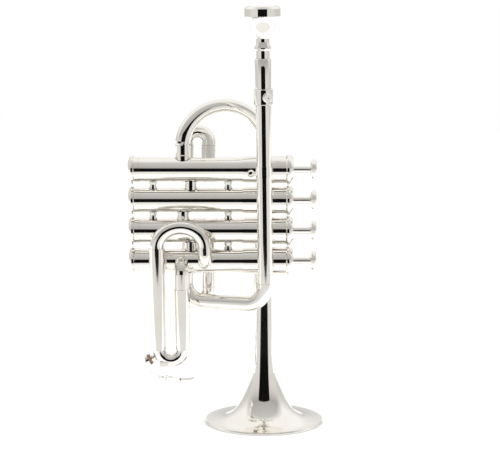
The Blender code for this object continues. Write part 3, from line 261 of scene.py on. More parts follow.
# Fourth slide: in front of the valves, leaning a little
SLIDE4_LEAN = 0.9
SLIDE4_FROM_VALVES = 0.0195
SLIDE4_SHORT_X = -0.0496
SLIDE4_INNER_X = -0.0693
SLIDE4_SPACING = 0.0200
SLIDE4_TUBE_R = 0.00565
SLIDE4_BORE_R = 0.0048
SLIDE4_LEG_R = 0.0067
SLIDE4_STOCKING_R = 0.0055
SLIDE4_ELBOW = 0.0080
SLIDE4_BOW_Z = 0.1579
SLIDE4_BOW_RISE = 0.0173
SLIDE4_LEG_END = 0.0730
SLIDE4_FERRULE_BOTTOM = 0.1234
SLIDE4_FERRULE_R = 0.0060
SLIDE4_STOCKING = 0.0420

# Slides of valves 1 to 3, behind the valves
REAR_PORTS_X = (-0.0658, -0.0473)
REAR_TUBE_R = 0.0060
REAR_BORE_R = 0.0046
REAR_LEG_BORE_R = 0.0054
REAR_STOCKING_R = 0.0051
REAR_ELBOW = 0.0085
REAR_ELBOW_REACH = 0.0125
FIRST_LEAN = 20.0
FIRST_LEG = 0.0115
FIRST_STRAIGHT = 0.0036
SECOND_LEG = 0.0100
SECOND_STRAIGHT = 0.0030
THIRD_LEG = 0.0425
THIRD_STRAIGHT = 0.0030
REAR_BRACE_R = 0.0015

# Water key on the fourth slide's crook
KEY_TURN = 26.0
NIPPLE_R = 0.0024
NIPPLE_FLANGE_R = 0.0036
NIPPLE_FLANGE = 0.0010
NIPPLE_BORE_R = 0.0013
NIPPLE_REACH = 0.0024
CORK_R = 0.0043
CORK_THICKNESS = 0.0031
CORK_CUP_WALL = 0.0005
CORK_CUP_FLOOR = 0.0012
CORK_CUP_DEPTH = 0.0011
PIVOT_X = -0.0074
PIVOT_Z = -0.0240
BARREL_R = 0.0021
BARREL_LENGTH = 0.0088
KEY_PIN_R = 0.0009
KEY_PIN_HEAD_R = 0.0017
KEY_PIN_HEAD = 0.0009
EAR_THICKNESS = 0.0012
EAR_R = 0.0026
SADDLE_WIDTH = 0.0074
KEY_ARM_THICKNESS = 0.0020
KEY_ARM_WIDTH = 0.0022
THUMB_LENGTH = 0.0120
THUMB_WIDTH = 0.0090
THUMB_THICKNESS = 0.0010
THUMB_REACH = 0.0262
KEY_SPRING_R = 0.0030
KEY_SPRING_WIRE_R = 0.0003
KEY_SPRING_PITCH = 0.00105
KEY_SPRING_LEG = 0.0085
SADDLE_SLOT_TOP = 0.0054

# Places that follow from the sizes above
BELL_AXIS_X = -(BOTTOM_CAP_END_X + BELL_RIM_R) / 2
BELL_AXIS_Y = (VALVES_FROM_BELL + LEADPIPE_FROM_VALVES + MOUTHPIECE_RIM_R - BELL_RIM_R) / 2
VALVE_Y = -VALVES_FROM_BELL
LEADPIPE_Y = VALVE_Y - LEADPIPE_FROM_VALVES
SLIDE4_Y = VALVE_Y - SLIDE4_FROM_VALVES
SLIDE4_OUTER_X = SLIDE4_INNER_X - SLIDE4_SPACING
SLIDE4_CROOK_X = SLIDE4_INNER_X - SLIDE4_SPACING / 2
SLIDE4_CROOK_Z = SLIDE4_LEG_END - GAP
LOWER_PORT_X = UPPER_PORT_X[1:] + (BOTTOM_PORT_X,)

X_AXIS = Vector((1, 0, 0))
Y_AXIS = Vector((0, 1, 0))
Z_AXIS = Vector((0, 0, 1))


def at(x, y, z):
    """A point measured from the bell's axis and the plane of its mouth."""
    return Vector((BELL_AXIS_X + x, BELL_AXIS_Y + y, z))


def valve_z(valve):
    """Height of a valve's axis. Valve 1 is the highest."""
    return LOWEST_VALVE_Z + (VALVE_COUNT - valve) * VALVE_PITCH


def lean_matrix(pivot, degrees):
    """Turns things about an axis along Y through a point. A positive angle moves the foot to +X."""
    turn = Matrix.Rotation(math.radians(-degrees), 4, "Y")
    return Matrix.Translation(pivot) @ turn @ Matrix.Translation(-pivot)


LEADPIPE_TURN = lean_matrix(at(LEADPIPE_FOOT_X, LEADPIPE_Y, 0), LEADPIPE_LEAN)
LEADPIPE_UP = LEADPIPE_TURN.to_3x3() @ Z_AXIS
SLIDE4_TURN = lean_matrix(at(SLIDE4_INNER_X, SLIDE4_Y, LOWEST_VALVE_Z), SLIDE4_LEAN)


def slide4(x, y, z):
    """A point of the fourth slide, in its leaning place."""
    return SLIDE4_TURN @ at(x, y, z)


def leadpipe(z):
    """The point of the leadpipe's axis at a distance z along it from the plane of the bell's mouth."""
    return at(LEADPIPE_FOOT_X, LEADPIPE_Y, 0) + LEADPIPE_UP * z


# Collections and materials


def new_collection(name):
    collection = bpy.data.collections.new(name)
    bpy.context.scene.collection.children.link(collection)
    return collection


PARTS = new_collection(OBJECT_NAME)
CUTTERS = new_collection("cutters")


def node(tree, kind, **inputs):
    """Adds a shader node. Inputs named by their socket take a value or a link."""
    made = tree.nodes.new(kind)
    for name, value in inputs.items():
        socket = made.inputs[name.replace("_", " ")]
        if isinstance(value, bpy.types.NodeSocket):
            tree.links.new(value, socket)
        else:
            socket.default_value = value
    return made


def ramp(tree, factor, stops):
    made = node(tree, "ShaderNodeValToRGB", Fac=factor)
    elements = made.color_ramp.elements
    while len(elements) < len(stops):
        elements.new(0.5)
    for element, (position, color) in zip(elements, stops):
        element.position = position
        element.color = (*color, 1.0)
    return made.outputs["Color"]


def surface(name, metallic, roughness):
    material = bpy.data.materials.new(name)
    material.use_nodes = True
    tree = material.node_tree
    shader = tree.nodes["Principled BSDF"]
    shader.inputs["Metallic"].default_value = metallic
    shader.inputs["Roughness"].default_value = roughness
    place = node(tree, "ShaderNodeTexCoord").outputs["Object"]
    return material, tree, shader, place


def level(tree, value, low, high, start=0.0, end=1.0):
    """Maps a value that runs from start to end to one that runs from low to high."""
    made = node(tree, "ShaderNodeMapRange", Value=value, From_Min=start, From_Max=end)
    made.inputs["To Min"].default_value = low
    made.inputs["To Max"].default_value = high
    return made.outputs["Result"]


def polished(name, light, shadow, rough_low, rough_high, ripple):
    """A plated or honed metal: slow changes of tone, fine wiping marks and a faint ripple."""
    material, tree, shader, place = surface(name, 1.0, rough_low)
    tone = node(tree, "ShaderNodeTexNoise", Vector=place, Scale=46.0, Detail=5.0, Roughness=0.6)
    color = ramp(tree, tone.outputs["Fac"], [(0.30, shadow), (0.66, light)])
    tree.links.new(color, shader.inputs["Base Color"])
    wipe = node(tree, "ShaderNodeTexNoise", Vector=place, Scale=700.0, Detail=3.0, Roughness=0.7)
    tree.links.new(level(tree, wipe.outputs["Fac"], rough_low, rough_high), shader.inputs["Roughness"])
    wave = node(tree, "ShaderNodeTexNoise", Vector=place, Scale=95.0, Detail=2.0, Roughness=0.4)
    bump = node(tree, "ShaderNodeBump", Strength=ripple, Distance=0.0002, Height=wave.outputs["Fac"])
    tree.links.new(bump.outputs["Normal"], shader.inputs["Normal"])
    return material


SHARED = {}


def shared(name, maker):
    if name not in SHARED:
        SHARED[name] = maker(name)
    return SHARED[name]


# Light tone, shadow tone, least and greatest roughness, and strength of the ripple
METALS = {
    "silver_plate": ((0.94, 0.92, 0.88), (0.89, 0.86, 0.81), 0.03, 0.07, 0.05),
    "monel": ((0.74, 0.73, 0.70), (0.66, 0.64, 0.61), 0.14, 0.26, 0.08),
    "spring_steel": ((0.56, 0.54, 0.52), (0.44, 0.41, 0.39), 0.22, 0.36, 0.1),
}


def metal(name):
    return shared(name, lambda key: polished(key, *METALS[key]))


def silver():
    return metal("silver_plate")


def polished_piston():
    return metal("monel")


def spring_steel():
    return metal("spring_steel")


def cork_bark(name):
    material, tree, shader, place = surface(name, 0.0, 0.85)
    grain = node(tree, "ShaderNodeTexVoronoi", Vector=place, Scale=900.0)
    fleck = node(tree, "ShaderNodeTexNoise", Vector=place, Scale=1600.0, Detail=4.0)
    both = node(tree, "ShaderNodeMath")
    both.operation = "MULTIPLY_ADD"
    tree.links.new(grain.outputs["Distance"], both.inputs[0])
    both.inputs[1].default_value = 0.5
    tree.links.new(fleck.outputs["Fac"], both.inputs[2])
    stops = [(0.35, (0.10, 0.045, 0.03)), (0.6, (0.24, 0.115, 0.08)), (0.9, (0.34, 0.18, 0.12))]
    color = ramp(tree, both.outputs["Value"], stops)
    tree.links.new(color, shader.inputs["Base Color"])
    bump = node(tree, "ShaderNodeBump", Strength=0.5, Distance=0.0002, Height=both.outputs["Value"])
    tree.links.new(bump.outputs["Normal"], shader.inputs["Normal"])
    return material


def cork():
    return shared("cork", cork_bark)


# Building blocks


def shade(mesh):
    mesh.shade_smooth()
    mesh.set_sharp_from_angle(angle=math.radians(CREASE_DEGREES))


def add_part(name, mesh, material_maker, matrix=None):
    """Puts a finished piece in the scene in place of the CAD node of the same name."""
    mesh.materials.clear()
    mesh.materials.append(material_maker())
    shade(mesh)
    obj = bpy.data.objects.new(name + "_finished", mesh)
    PARTS.objects.link(obj)
    if matrix is not None:
        obj.matrix_world = matrix
    FINISHED[name] = obj
    return obj


def add_cutter(name, mesh, matrix=None):
    """A helper shape for a Boolean. It stays out of the model and of renders."""
    obj = bpy.data.objects.new(name, mesh)
    obj.hide_render = True
    obj.display_type = "WIRE"
    CUTTERS.objects.link(obj)
    if matrix is not None:
        obj.matrix_world = matrix
    return obj


def boolean(obj, tool, operation):
    modifier = obj.modifiers.new(operation.lower(), "BOOLEAN")
    modifier.operation = operation
    modifier.solver = "EXACT"
    modifier.object = tool


def cut(obj, tool):
    boolean(obj, tool, "DIFFERENCE")


def join(obj, tool):
    boolean(obj, tool, "UNION")


def facing(origin, axis):
    """A matrix that takes the local Z axis to the given axis at the given origin."""
    turn = Z_AXIS.rotation_difference(axis.normalized()).to_matrix().to_4x4()
    return Matrix.Translation(origin) @ turn


def profile_mesh(name, profile, closed):
    """An outline in the local XZ plane, from (radius, height) pairs."""
    mesh = bpy.data.meshes.new(name)
    points = [(radius, 0.0, height) for radius, height in profile]
    edges = [(i, i + 1) for i in range(len(points) - 1)]
    if closed:
        edges.append((len(points) - 1, 0))
    mesh.from_pydata(points, edges, [])
    return mesh


def spin(obj, sides):
    screw = obj.modifiers.new("spin", "SCREW")
    screw.steps = sides
    screw.render_steps = sides
    screw.use_merge_vertices = True
    screw.merge_threshold = SPIN_MERGE
    screw.use_smooth_shade = True


def turned(name, profile, origin, axis, sides, material_maker=silver, closed=False):
    """A turned piece. The profile runs down its outer side and, on a hollow piece, up its inner side."""
    mesh = profile_mesh(name, profile, closed)
    obj = add_part(name, mesh, material_maker, facing(origin, axis))
    spin(obj, sides)
    return obj


def turned_cutter(name, profile, origin, axis, sides):
    obj = add_cutter(name, profile_mesh(name, profile, False), facing(origin, axis))
    spin(obj, sides)
    return obj


def new_mesh(name, shape):
    mesh = bpy.data.meshes.new(name)
    shape.to_mesh(mesh)
    shape.free()
    return mesh


def rod_cutter(name, start, end, radius, sides):
    """A plain round bar between two points, to cut with or to join on."""
    shape = bmesh.new()
    length = (end - start).length
    bmesh.ops.create_cone(
        shape, cap_ends=True, segments=sides, radius1=radius, radius2=radius, depth=length
    )
    bmesh.ops.translate(shape, verts=shape.verts, vec=(0, 0, length / 2))
    return add_cutter(name, new_mesh(name, shape), facing(start, end - start))


def box_cutter(name, low, high, matrix):
    shape = bmesh.new()
    bmesh.ops.create_cube(shape, size=1.0)
    size = Vector(high) - Vector(low)
    middle = (Vector(high) + Vector(low)) / 2
    bmesh.ops.scale(shape, verts=shape.verts, vec=size)
    bmesh.ops.translate(shape, verts=shape.verts, vec=middle)
    return add_cutter(name, new_mesh(name, shape), matrix)


def swept_mesh(name, points, radii, resolution):
    """A round bar along points, from a curve with a bevel, as a closed mesh."""
    curve = bpy.data.curves.new(name, "CURVE")
    curve.dimensions = "3D"
    curve.bevel_depth = 1.0
    curve.bevel_resolution = resolution
    curve.use_fill_caps = True
    spline = curve.splines.new("POLY")
    spline.points.add(len(points) - 1)
    for point, place, radius in zip(spline.points, points, radii):
        point.co = (*place, 1.0)
        point.radius = radius
    holder = bpy.data.objects.new(name, curve)
    CUTTERS.objects.link(holder)
    depsgraph = bpy.context.evaluated_depsgraph_get()
    mesh = bpy.data.meshes.new_from_object(holder.evaluated_get(depsgraph))
    bpy.data.objects.remove(holder)
    shape = bmesh.new()
    shape.from_mesh(mesh)
    bmesh.ops.remove_doubles(shape, verts=shape.verts, dist=SWEEP_MERGE)
    shape.to_mesh(mesh)
    shape.free()
    return mesh


def stretched(points, extra):
    """The same route with its two ends drawn out, so that a bore runs past both end faces."""
    first = points[0] + (points[0] - points[1]).normalized() * extra
    last = points[-1] + (points[-1] - points[-2]).normalized() * extra
    return [first] + points[1:-1] + [last]


class Route:
    """A run of points made of straight stretches and round bends, as a tube bender makes it."""

    def __init__(self, start, heading, radius, bore):
        self.points = [start]
        self.radii = [radius]
        self.bores = [bore]
        self.heading = heading.normalized()
        self.radius = radius
        self.bore = bore

    def mark(self, place):
        self.points.append(place)
        self.radii.append(self.radius)
        self.bores.append(self.bore)

    def ahead(self, length):
        self.mark(self.points[-1] + self.heading * length)

    def step(self, radius, bore):
        """Changes the tube's outer and inner radius at a shoulder."""
        self.radius = radius
        self.bore = bore
        self.ahead(SHOULDER)

    def bend(self, towards, radius, degrees, steps):
        """Turns the heading towards a direction square to it, along an arc."""
        towards = towards.normalized()
        start = self.points[-1]
        centre = start + towards * radius
        heading = self.heading
        for i in range(1, steps + 1):
            angle = math.radians(degrees) * i / steps
            out = -towards * math.cos(angle) + heading * math.sin(angle)
            self.mark(centre + out * radius)
        last = math.radians(degrees)
        self.heading = heading * math.cos(last) + towards * math.sin(last)


def bore_cutter(name, route):
    """The inside of a route's tube, run out past both ends."""
    points = stretched(route.points, BORE_RUN_OUT)
    return add_cutter(name, swept_mesh(name, points, route.bores, TUBE_RESOLUTION))


def route_tube(name, route):
    """A bent silver tube with its bore."""
    obj = add_part(name, swept_mesh(name, route.points, route.radii, TUBE_RESOLUTION), silver)
    cut(obj, bore_cutter(name + "_bore", route))
    return obj


def saddle(obj, *valves):
    """Cuts a piece's ends to the round of the casings that it is fastened to, less the gap."""
    for valve in valves:
        start = at(CASING_BOTTOM_X, VALVE_Y, valve_z(valve))
        end = at(SLEEVE_FOOT_X, VALVE_Y, valve_z(valve))
        cut(obj, rod_cutter(f"{obj.name}_seat_{valve}", start, end, CASING_R + GAP, SEAT_SIDES))


# Bell


def flare_radius(z):
    """Outer radius of the horn near its mouth, which opens as a power of the distance."""
    lip = BELL_RIM_R - BELL_BEAD_R
    return lip * (BELL_FLARE_OFFSET / (z + BELL_FLARE_OFFSET)) ** BELL_FLARE_POWER


def bell_outside():
    """Outer profile of the bell from its socket down to the rim's bead."""
    bead_top = 2 * BELL_BEAD_R
    shares = [1.0 - FLARE_REACH * i / FLARE_STEPS for i in range(FLARE_STEPS + 1)]
    heights = [BELL_FLARE_TOP * share for share in shares]
    flare = [(flare_radius(z), z) for z in heights if z > 1.2 * bead_top]
    tail = [(radius, z) for z, radius in reversed(BELL_TAIL)]
    socket = [(BELL_SOCKET_R, BELL_SOCKET_TOP), (BELL_SOCKET_R, BELL_SOCKET_TOP - BELL_SOCKET_DEPTH)]
    return socket + tail + flare


def build_bell():
    outside = bell_outside()
    bead_r = BELL_RIM_R - BELL_BEAD_R
    bead = [
        (bead_r + 0.4 * BELL_BEAD_R, 2 * BELL_BEAD_R),
        (BELL_RIM_R, BELL_BEAD_R),
        (bead_r + 0.6 * BELL_BEAD_R, 0.0),
        (bead_r - 1.4 * BELL_BEAD_R, 0.0),
    ]
    inside = [(radius - BELL_WALL, z - 0.3 * BELL_WALL) for radius, z in reversed(outside[2:])]
    socket_floor = BELL_SOCKET_TOP - BELL_SOCKET_DEPTH
    socket_bore = BELL_SOCKET_R - BELL_WALL
    top = [
        (inside[-1][0] - 0.0012, socket_floor),
        (socket_bore, socket_floor),
        (socket_bore, BELL_SOCKET_TOP),
    ]
    profile = outside + bead + inside + top
    turned("bell", profile, at(0, 0, 0), Z_AXIS, BELL_SIDES, closed=True)


# Valves


def valve_origin(valve):
    return at(0, VALVE_Y, valve_z(valve))


def valve_piece(kind, valve, profile, sides=CASING_SIDES, material_maker=silver, closed=True):
    """A turned piece on a valve's axis, with its profile's heights along X."""
    name = f"{kind}_{valve}"
    return turned(name, profile, valve_origin(valve), X_AXIS, sides, material_maker, closed)


def side_ports(valve):
    """Where the two ends of a valve's slide enter its casing, and the side that they enter from."""
    if valve == VALVE_COUNT:
        return (SLIDE4_INNER_X, SLIDE4_SHORT_X), -Y_AXIS
    return REAR_PORTS_X, Y_AXIS


def build_casing(valve):
    profile = [
        (TOP_THREAD_R, CASING_TOP_X + THREAD_LENGTH),
        (TOP_THREAD_R, CASING_TOP_X),
        (SLEEVE_R, CASING_TOP_X),
        (SLEEVE_FOOT_R, SLEEVE_FOOT_X + SLEEVE_COVE),
        (CASING_R, SLEEVE_FOOT_X),
        (CASING_R, CASING_BOTTOM_X),
        (BOTTOM_THREAD_R, CASING_BOTTOM_X),
        (BOTTOM_THREAD_R, CASING_BOTTOM_X - THREAD_LENGTH),
        (CASING_BORE_R, CASING_BOTTOM_X - THREAD_LENGTH),
        (CASING_BORE_R, CASING_TOP_X + THREAD_LENGTH),
    ]
    valve_piece("valve_casing", valve, profile)


def build_bottom_cap(valve):
    floor_x = BOTTOM_CAP_END_X + BOTTOM_CAP_FLOOR
    rim_round = (BOTTOM_CAP_RIM_TO - BOTTOM_CAP_RIM_FROM) / 5
    profile = [
        (BOTTOM_CAP_R, CASING_BOTTOM_X - GAP),
        (BOTTOM_CAP_R, BOTTOM_CAP_RIM_TO),
        (BOTTOM_CAP_RIM_R, BOTTOM_CAP_RIM_TO - rim_round),
        (BOTTOM_CAP_RIM_R, BOTTOM_CAP_RIM_FROM + rim_round),
        (0.96 * BOTTOM_CAP_R, BOTTOM_CAP_END_X + 0.0012),
        (0.62 * BOTTOM_CAP_R, BOTTOM_CAP_END_X),
        (0.0, BOTTOM_CAP_END_X),
        (0.0, floor_x),
        (BOTTOM_THREAD_R + GAP, floor_x),
        (BOTTOM_THREAD_R + GAP, CASING_BOTTOM_X - GAP),
    ]
    valve_piece("bottom_cap", valve, profile)


def build_top_cap(valve):
    plate_x = TOP_CAP_END_X - TOP_CAP_PLATE
    hole_r = STEM_R + RUNNING_GAP
    rim_round = (TOP_CAP_RIM_TO - TOP_CAP_RIM_FROM) / 4
    profile = [
        (TOP_CAP_LIP_R, TOP_CAP_END_X),
        (TOP_CAP_R, TOP_CAP_RIM_TO + rim_round),
        (TOP_CAP_RIM_R, TOP_CAP_RIM_TO - rim_round),
        (TOP_CAP_RIM_R, TOP_CAP_RIM_FROM + rim_round),
        (TOP_CAP_R, TOP_CAP_RIM_FROM),
        (TOP_CAP_R, CASING_TOP_X + GAP),
        (TOP_THREAD_R + GAP, CASING_TOP_X + GAP),
        (TOP_THREAD_R + GAP, plate_x),
        (hole_r, plate_x),
        (hole_r, TOP_CAP_END_X),
    ]
    valve_piece("top_cap", valve, profile)


def passage_cutter(name, origin, start, end):
    """A straight slanting bore between two ports of a piston, run out past its surface."""
    mouths = [origin + X_AXIS * x + way * CASING_BORE_R for x, way in (start, end)]
    extra = (mouths[1] - mouths[0]).normalized() * CASING_BORE_R
    return rod_cutter(name, mouths[0] - extra, mouths[1] + extra, PASSAGE_R, ROD_SIDES)


def build_piston(valve):
    name = f"piston_{valve}"
    origin = valve_origin(valve)
    radius = CASING_BORE_R - RUNNING_GAP
    seat_x = PISTON_BOTTOM_X + PISTON_SEAT_DEPTH
    profile = [
        (PISTON_HOLLOW_R, PISTON_TOP_X),
        (radius, PISTON_TOP_X),
        (radius, PISTON_BOTTOM_X),
        (PISTON_SEAT_R, PISTON_BOTTOM_X),
        (PISTON_SEAT_R, seat_x),
        (0.0, seat_x),
        (0.0, PISTON_HOLLOW_X),
        (PISTON_HOLLOW_R, PISTON_HOLLOW_X),
    ]
    piston = valve_piece("piston", valve, profile, material_maker=polished_piston)
    upper_x = UPPER_PORT_X[valve - 1]
    lower_x = LOWER_PORT_X[valve - 1]
    high = origin + X_AXIS * upper_x + Z_AXIS * 1.3 * CASING_BORE_R
    low = origin + X_AXIS * lower_x - Z_AXIS * 1.3 * CASING_BORE_R
    cut(piston, rod_cutter(f"{name}_open", high, low, PASSAGE_R, ROD_SIDES))
    ends = sorted([(upper_x + STROKE, Z_AXIS), (lower_x + STROKE, -Z_AXIS)], key=lambda end: end[0])
    ports, side = side_ports(valve)
    for number, (end, x) in enumerate(zip(ends, sorted(ports))):
        cut(piston, passage_cutter(f"{name}_loop_{number}", origin, end, (x + STROKE, side)))


def build_stem(valve):
    foot_bottom = PISTON_TOP_X + GAP
    foot_top = TOP_CAP_END_X - TOP_CAP_PLATE - GAP
    spigot_r = PISTON_HOLLOW_R - GAP
    neck_x = BUTTON_FROM_X - GAP
    profile = [
        (0.0, neck_x + STEM_NECK),
        (STEM_NECK_R, neck_x + STEM_NECK),
        (STEM_NECK_R, neck_x),
        (STEM_R, neck_x),
        (STEM_R, foot_top),
        (STEM_FOOT_R, foot_top),
        (STEM_FOOT_R, foot_bottom),
        (spigot_r, foot_bottom),
        (spigot_r, PISTON_TOP_X - STEM_SPIGOT),
        (0.0, PISTON_TOP_X - STEM_SPIGOT),
    ]
    valve_piece("valve_stem", valve, profile, SMALL_SIDES, closed=False)


def build_button(valve):
    top = BUTTON_FROM_X + BUTTON_THICKNESS
    hole_r = STEM_NECK_R + GAP
    hole_end = BUTTON_FROM_X - GAP + STEM_NECK + GAP
    profile = [
        (0.0, top - 0.0008),
        (0.80 * BUTTON_R, top),
        (0.94 * BUTTON_R, top - 0.0009),
        (BUTTON_R, top - 0.0026),
        (0.94 * BUTTON_R, top - 0.0042),
        (BUTTON_NECK_R, BUTTON_FROM_X + 0.0006),
        (BUTTON_NECK_R, BUTTON_FROM_X),
        (hole_r, BUTTON_FROM_X),
        (hole_r, hole_end),
        (0.0, hole_end),
    ]
    valve_piece("finger_button", valve, profile, closed=False)


def helix(start_x, end_x, radius, turns, points_a_turn):
    """Points of a coil about the local X axis."""
    count = turns * points_a_turn
    points = []
    for i in range(count + 1):
        angle = 2 * math.pi * i / points_a_turn
        x = start_x + (end_x - start_x) * i / count
        points.append(Vector((x, radius * math.cos(angle), radius * math.sin(angle))))
    return points


def build_valve_spring(valve):
    start_x = BOTTOM_CAP_END_X + BOTTOM_CAP_FLOOR + GAP + SPRING_WIRE_R
    end_x = PISTON_BOTTOM_X + PISTON_SEAT_DEPTH - GAP - SPRING_WIRE_R
    points = helix(start_x, end_x, SPRING_R, SPRING_TURNS, VALVE_SPRING_TURN_POINTS)
    radii = [SPRING_WIRE_R] * len(points)
    mesh = swept_mesh(f"valve_spring_{valve}", points, radii, VALVE_SPRING_RESOLUTION)
    matrix = Matrix.Translation(valve_origin(valve))
    add_part(f"valve_spring_{valve}", mesh, spring_steel, matrix)


def build_valves():
    for valve in range(1, VALVE_COUNT + 1):
        build_casing(valve)
        build_bottom_cap(valve)
        build_top_cap(valve)
        build_piston(valve)
        build_stem(valve)
        build_button(valve)
        build_valve_spring(valve)


# Knuckles and posts between the casings


def build_knuckle(upper):
    """The short tube that joins a valve to the next one below."""
    lower = upper + 1
    x = LOWER_PORT_X[upper - 1]
    start = at(x, VALVE_Y, valve_z(lower))
    route = Route(start, Z_AXIS, KNUCKLE_R, KNUCKLE_BORE_R)
    route.ahead(VALVE_PITCH)
    knuckle = route_tube(f"knuckle_{upper}_{lower}", route)
    saddle(knuckle, upper, lower)


def build_post(upper, x, place):
    """A waisted post that holds two casings apart."""
    lower = upper + 1
    half = VALVE_PITCH / 2
    clear = half - CASING_R
    profile = [
        (0.0, half),
        (POST_R, half),
        (POST_R, 0.8 * clear),
        (POST_WAIST_R, 0.0),
        (POST_R, -0.8 * clear),
        (POST_R, -half),
        (0.0, -half),
    ]
    middle = at(x, VALVE_Y, valve_z(lower) + half)
    post = turned(f"casing_post_{upper}_{lower}_{place}", profile, middle, Z_AXIS, POST_SIDES)
    saddle(post, upper, lower)


def build_links():
    for upper in range(1, VALVE_COUNT):
        build_knuckle(upper)
        build_post(upper, POST_BUTTON_END_X, "button_end")
    for upper in range(1, VALVE_COUNT - 1):
        build_post(upper, POST_CAP_END_X, "cap_end")


# Bell bow


def build_bow_ferrule():
    bottom = valve_z(1)
    step = BOW_FERRULE_RING
    socket_r = BOW_SPIGOT_R + GAP
    profile = [
        (BOW_FERRULE_R, BOW_FERRULE_TOP),
        (BOW_FERRULE_R, step + 0.0004),
        (BOW_FERRULE_R - 0.0003, step),
        (BOW_FERRULE_R, step - 0.0004),
        (BOW_FERRULE_R, bottom),
        (PORT_R, bottom),
        (PORT_R, step),
        (socket_r, step),
        (socket_r, BOW_FERRULE_TOP),
    ]
    origin = at(UPPER_PORT_X[0], VALVE_Y, 0)
    ferrule = turned("bell_bow_ferrule", profile, origin, Z_AXIS, ROUND_SIDES, closed=True)
    saddle(ferrule, 1)


def bow_radius(share):
    """Outer radius of the bell bow at a share of its sweep."""
    place = share * (len(BOW_RADII) - 1)
    low = min(int(place), len(BOW_RADII) - 2)
    return BOW_RADII[low] + (BOW_RADII[low + 1] - BOW_RADII[low]) * (place - low)


def build_bell_bow():
    left = at(UPPER_PORT_X[0], VALVE_Y, BOW_START_Z)
    right = at(0, 0, BOW_START_Z)
    middle = (left + right) / 2
    half = (right - left) / 2
    route = Route(left + Z_AXIS * (BOW_FERRULE_RING + GAP - BOW_START_Z), Z_AXIS, BOW_SPIGOT_R, BOW_BORE_R)
    route.mark(left + Z_AXIS * (BOW_FERRULE_TOP + GAP - BOW_START_Z))
    for i in range(BOW_STEPS + 1):
        share = i / BOW_STEPS
        angle = math.pi * share
        place = middle - half * math.cos(angle) + Z_AXIS * BOW_RISE * math.sin(angle)
        route.radius = bow_radius(share)
        if place.z > BOW_FERRULE_TOP + GAP or share > 0.5:
            if share < 0.5 and len(route.points) == 2:
                route.mark(route.points[-1] + Z_AXIS * SHOULDER)
                route.mark(route.points[-1] + Z_AXIS * BOW_LEAD)
            route.mark(place)
    socket_floor = BELL_SOCKET_TOP - BELL_SOCKET_DEPTH
    route.mark(Vector((right.x, right.y, socket_floor + GAP)))
    route_tube("bell_bow", route)


# Leadpipe line


def leadpipe_piece(name, profile, sides=ROUND_SIDES):
    return turned(name, profile, leadpipe(0), LEADPIPE_UP, sides, closed=True)


def clamp_way():
    """The way that the clamp screw points, out from the leadpipe's axis."""
    angle = math.radians(CLAMP_SCREW_TURN)
    return LEADPIPE_TURN.to_3x3() @ Vector((math.sin(angle), -math.cos(angle), 0))


def build_sleeve():
    profile = [
        (SLEEVE_TUBE_R, SLEEVE_TUBE_TOP),
        (SLEEVE_TUBE_R, BRACE_FERRULE_TOP),
        (BRACE_FERRULE_R, BRACE_FERRULE_TOP),
        (BRACE_FERRULE_R, BRACE_FERRULE_BOTTOM),
        (SLEEVE_TUBE_R, BRACE_FERRULE_BOTTOM),
        (SLEEVE_TUBE_R, LOWER_FERRULE_TOP),
        (LOWER_FERRULE_R, LOWER_FERRULE_TOP),
        (LOWER_FERRULE_R, LOWER_FERRULE_BOTTOM),
        (SLEEVE_TUBE_BORE_R, LOWER_FERRULE_BOTTOM),
        (SLEEVE_TUBE_BORE_R, SLEEVE_TUBE_TOP),
    ]
    leadpipe_piece("leadpipe_sleeve", profile)


def build_collar():
    round_edge = 0.0005
    profile = [
        (COLLAR_R - round_edge, COLLAR_TOP),
        (COLLAR_R, COLLAR_TOP - round_edge),
        (COLLAR_R, COLLAR_BOTTOM + round_edge),
        (COLLAR_R - round_edge, COLLAR_BOTTOM),
        (SLEEVE_TUBE_R + GAP, COLLAR_BOTTOM),
        (SLEEVE_TUBE_R + GAP, COLLAR_TOP),
    ]
    leadpipe_piece("clamp_collar", profile)


def build_clamp_screw():
    tip = LEADPIPE_SHANK_R + GAP
    head = COLLAR_R + GAP
    end = head + CLAMP_HEAD
    pit = 0.0010
    profile = [
        (0.0, end - pit),
        (CLAMP_PIT_R, end - pit),
        (CLAMP_PIT_R, end),
        (0.85 * CLAMP_HEAD_R, end),
        (CLAMP_HEAD_R, end - 0.0006),
        (CLAMP_HEAD_R, head + 0.0004),
        (CLAMP_HEAD_R - 0.0004, head),
        (CLAMP_SCREW_R, head),
        (CLAMP_SCREW_R, tip),
        (0.0, tip),
    ]
    turned("clamp_screw", profile, leadpipe(CLAMP_SCREW_Z), clamp_way(), SMALL_SIDES)


def build_leadpipe():
    shoulder = COLLAR_TOP + GAP
    profile = [
        (SHANK_TOP_R + GAP + 0.0004, LEADPIPE_TOP),
        (LEADPIPE_MOUTH_R - 0.0006, LEADPIPE_TOP),
        (LEADPIPE_MOUTH_R, LEADPIPE_TOP - 0.0012),
        (LEADPIPE_R, shoulder),
        (LEADPIPE_SHANK_R, shoulder),
        (LEADPIPE_SHANK_R, LEADPIPE_SHANK_BOTTOM),
        (LEADPIPE_BORE_R, LEADPIPE_SHANK_BOTTOM),
        (LEADPIPE_BORE_R, LEADPIPE_TOP - RECEIVER_DEPTH),
        (SHANK_BOTTOM_R + GAP, LEADPIPE_TOP - RECEIVER_DEPTH),
    ]
    leadpipe_piece("leadpipe", profile)


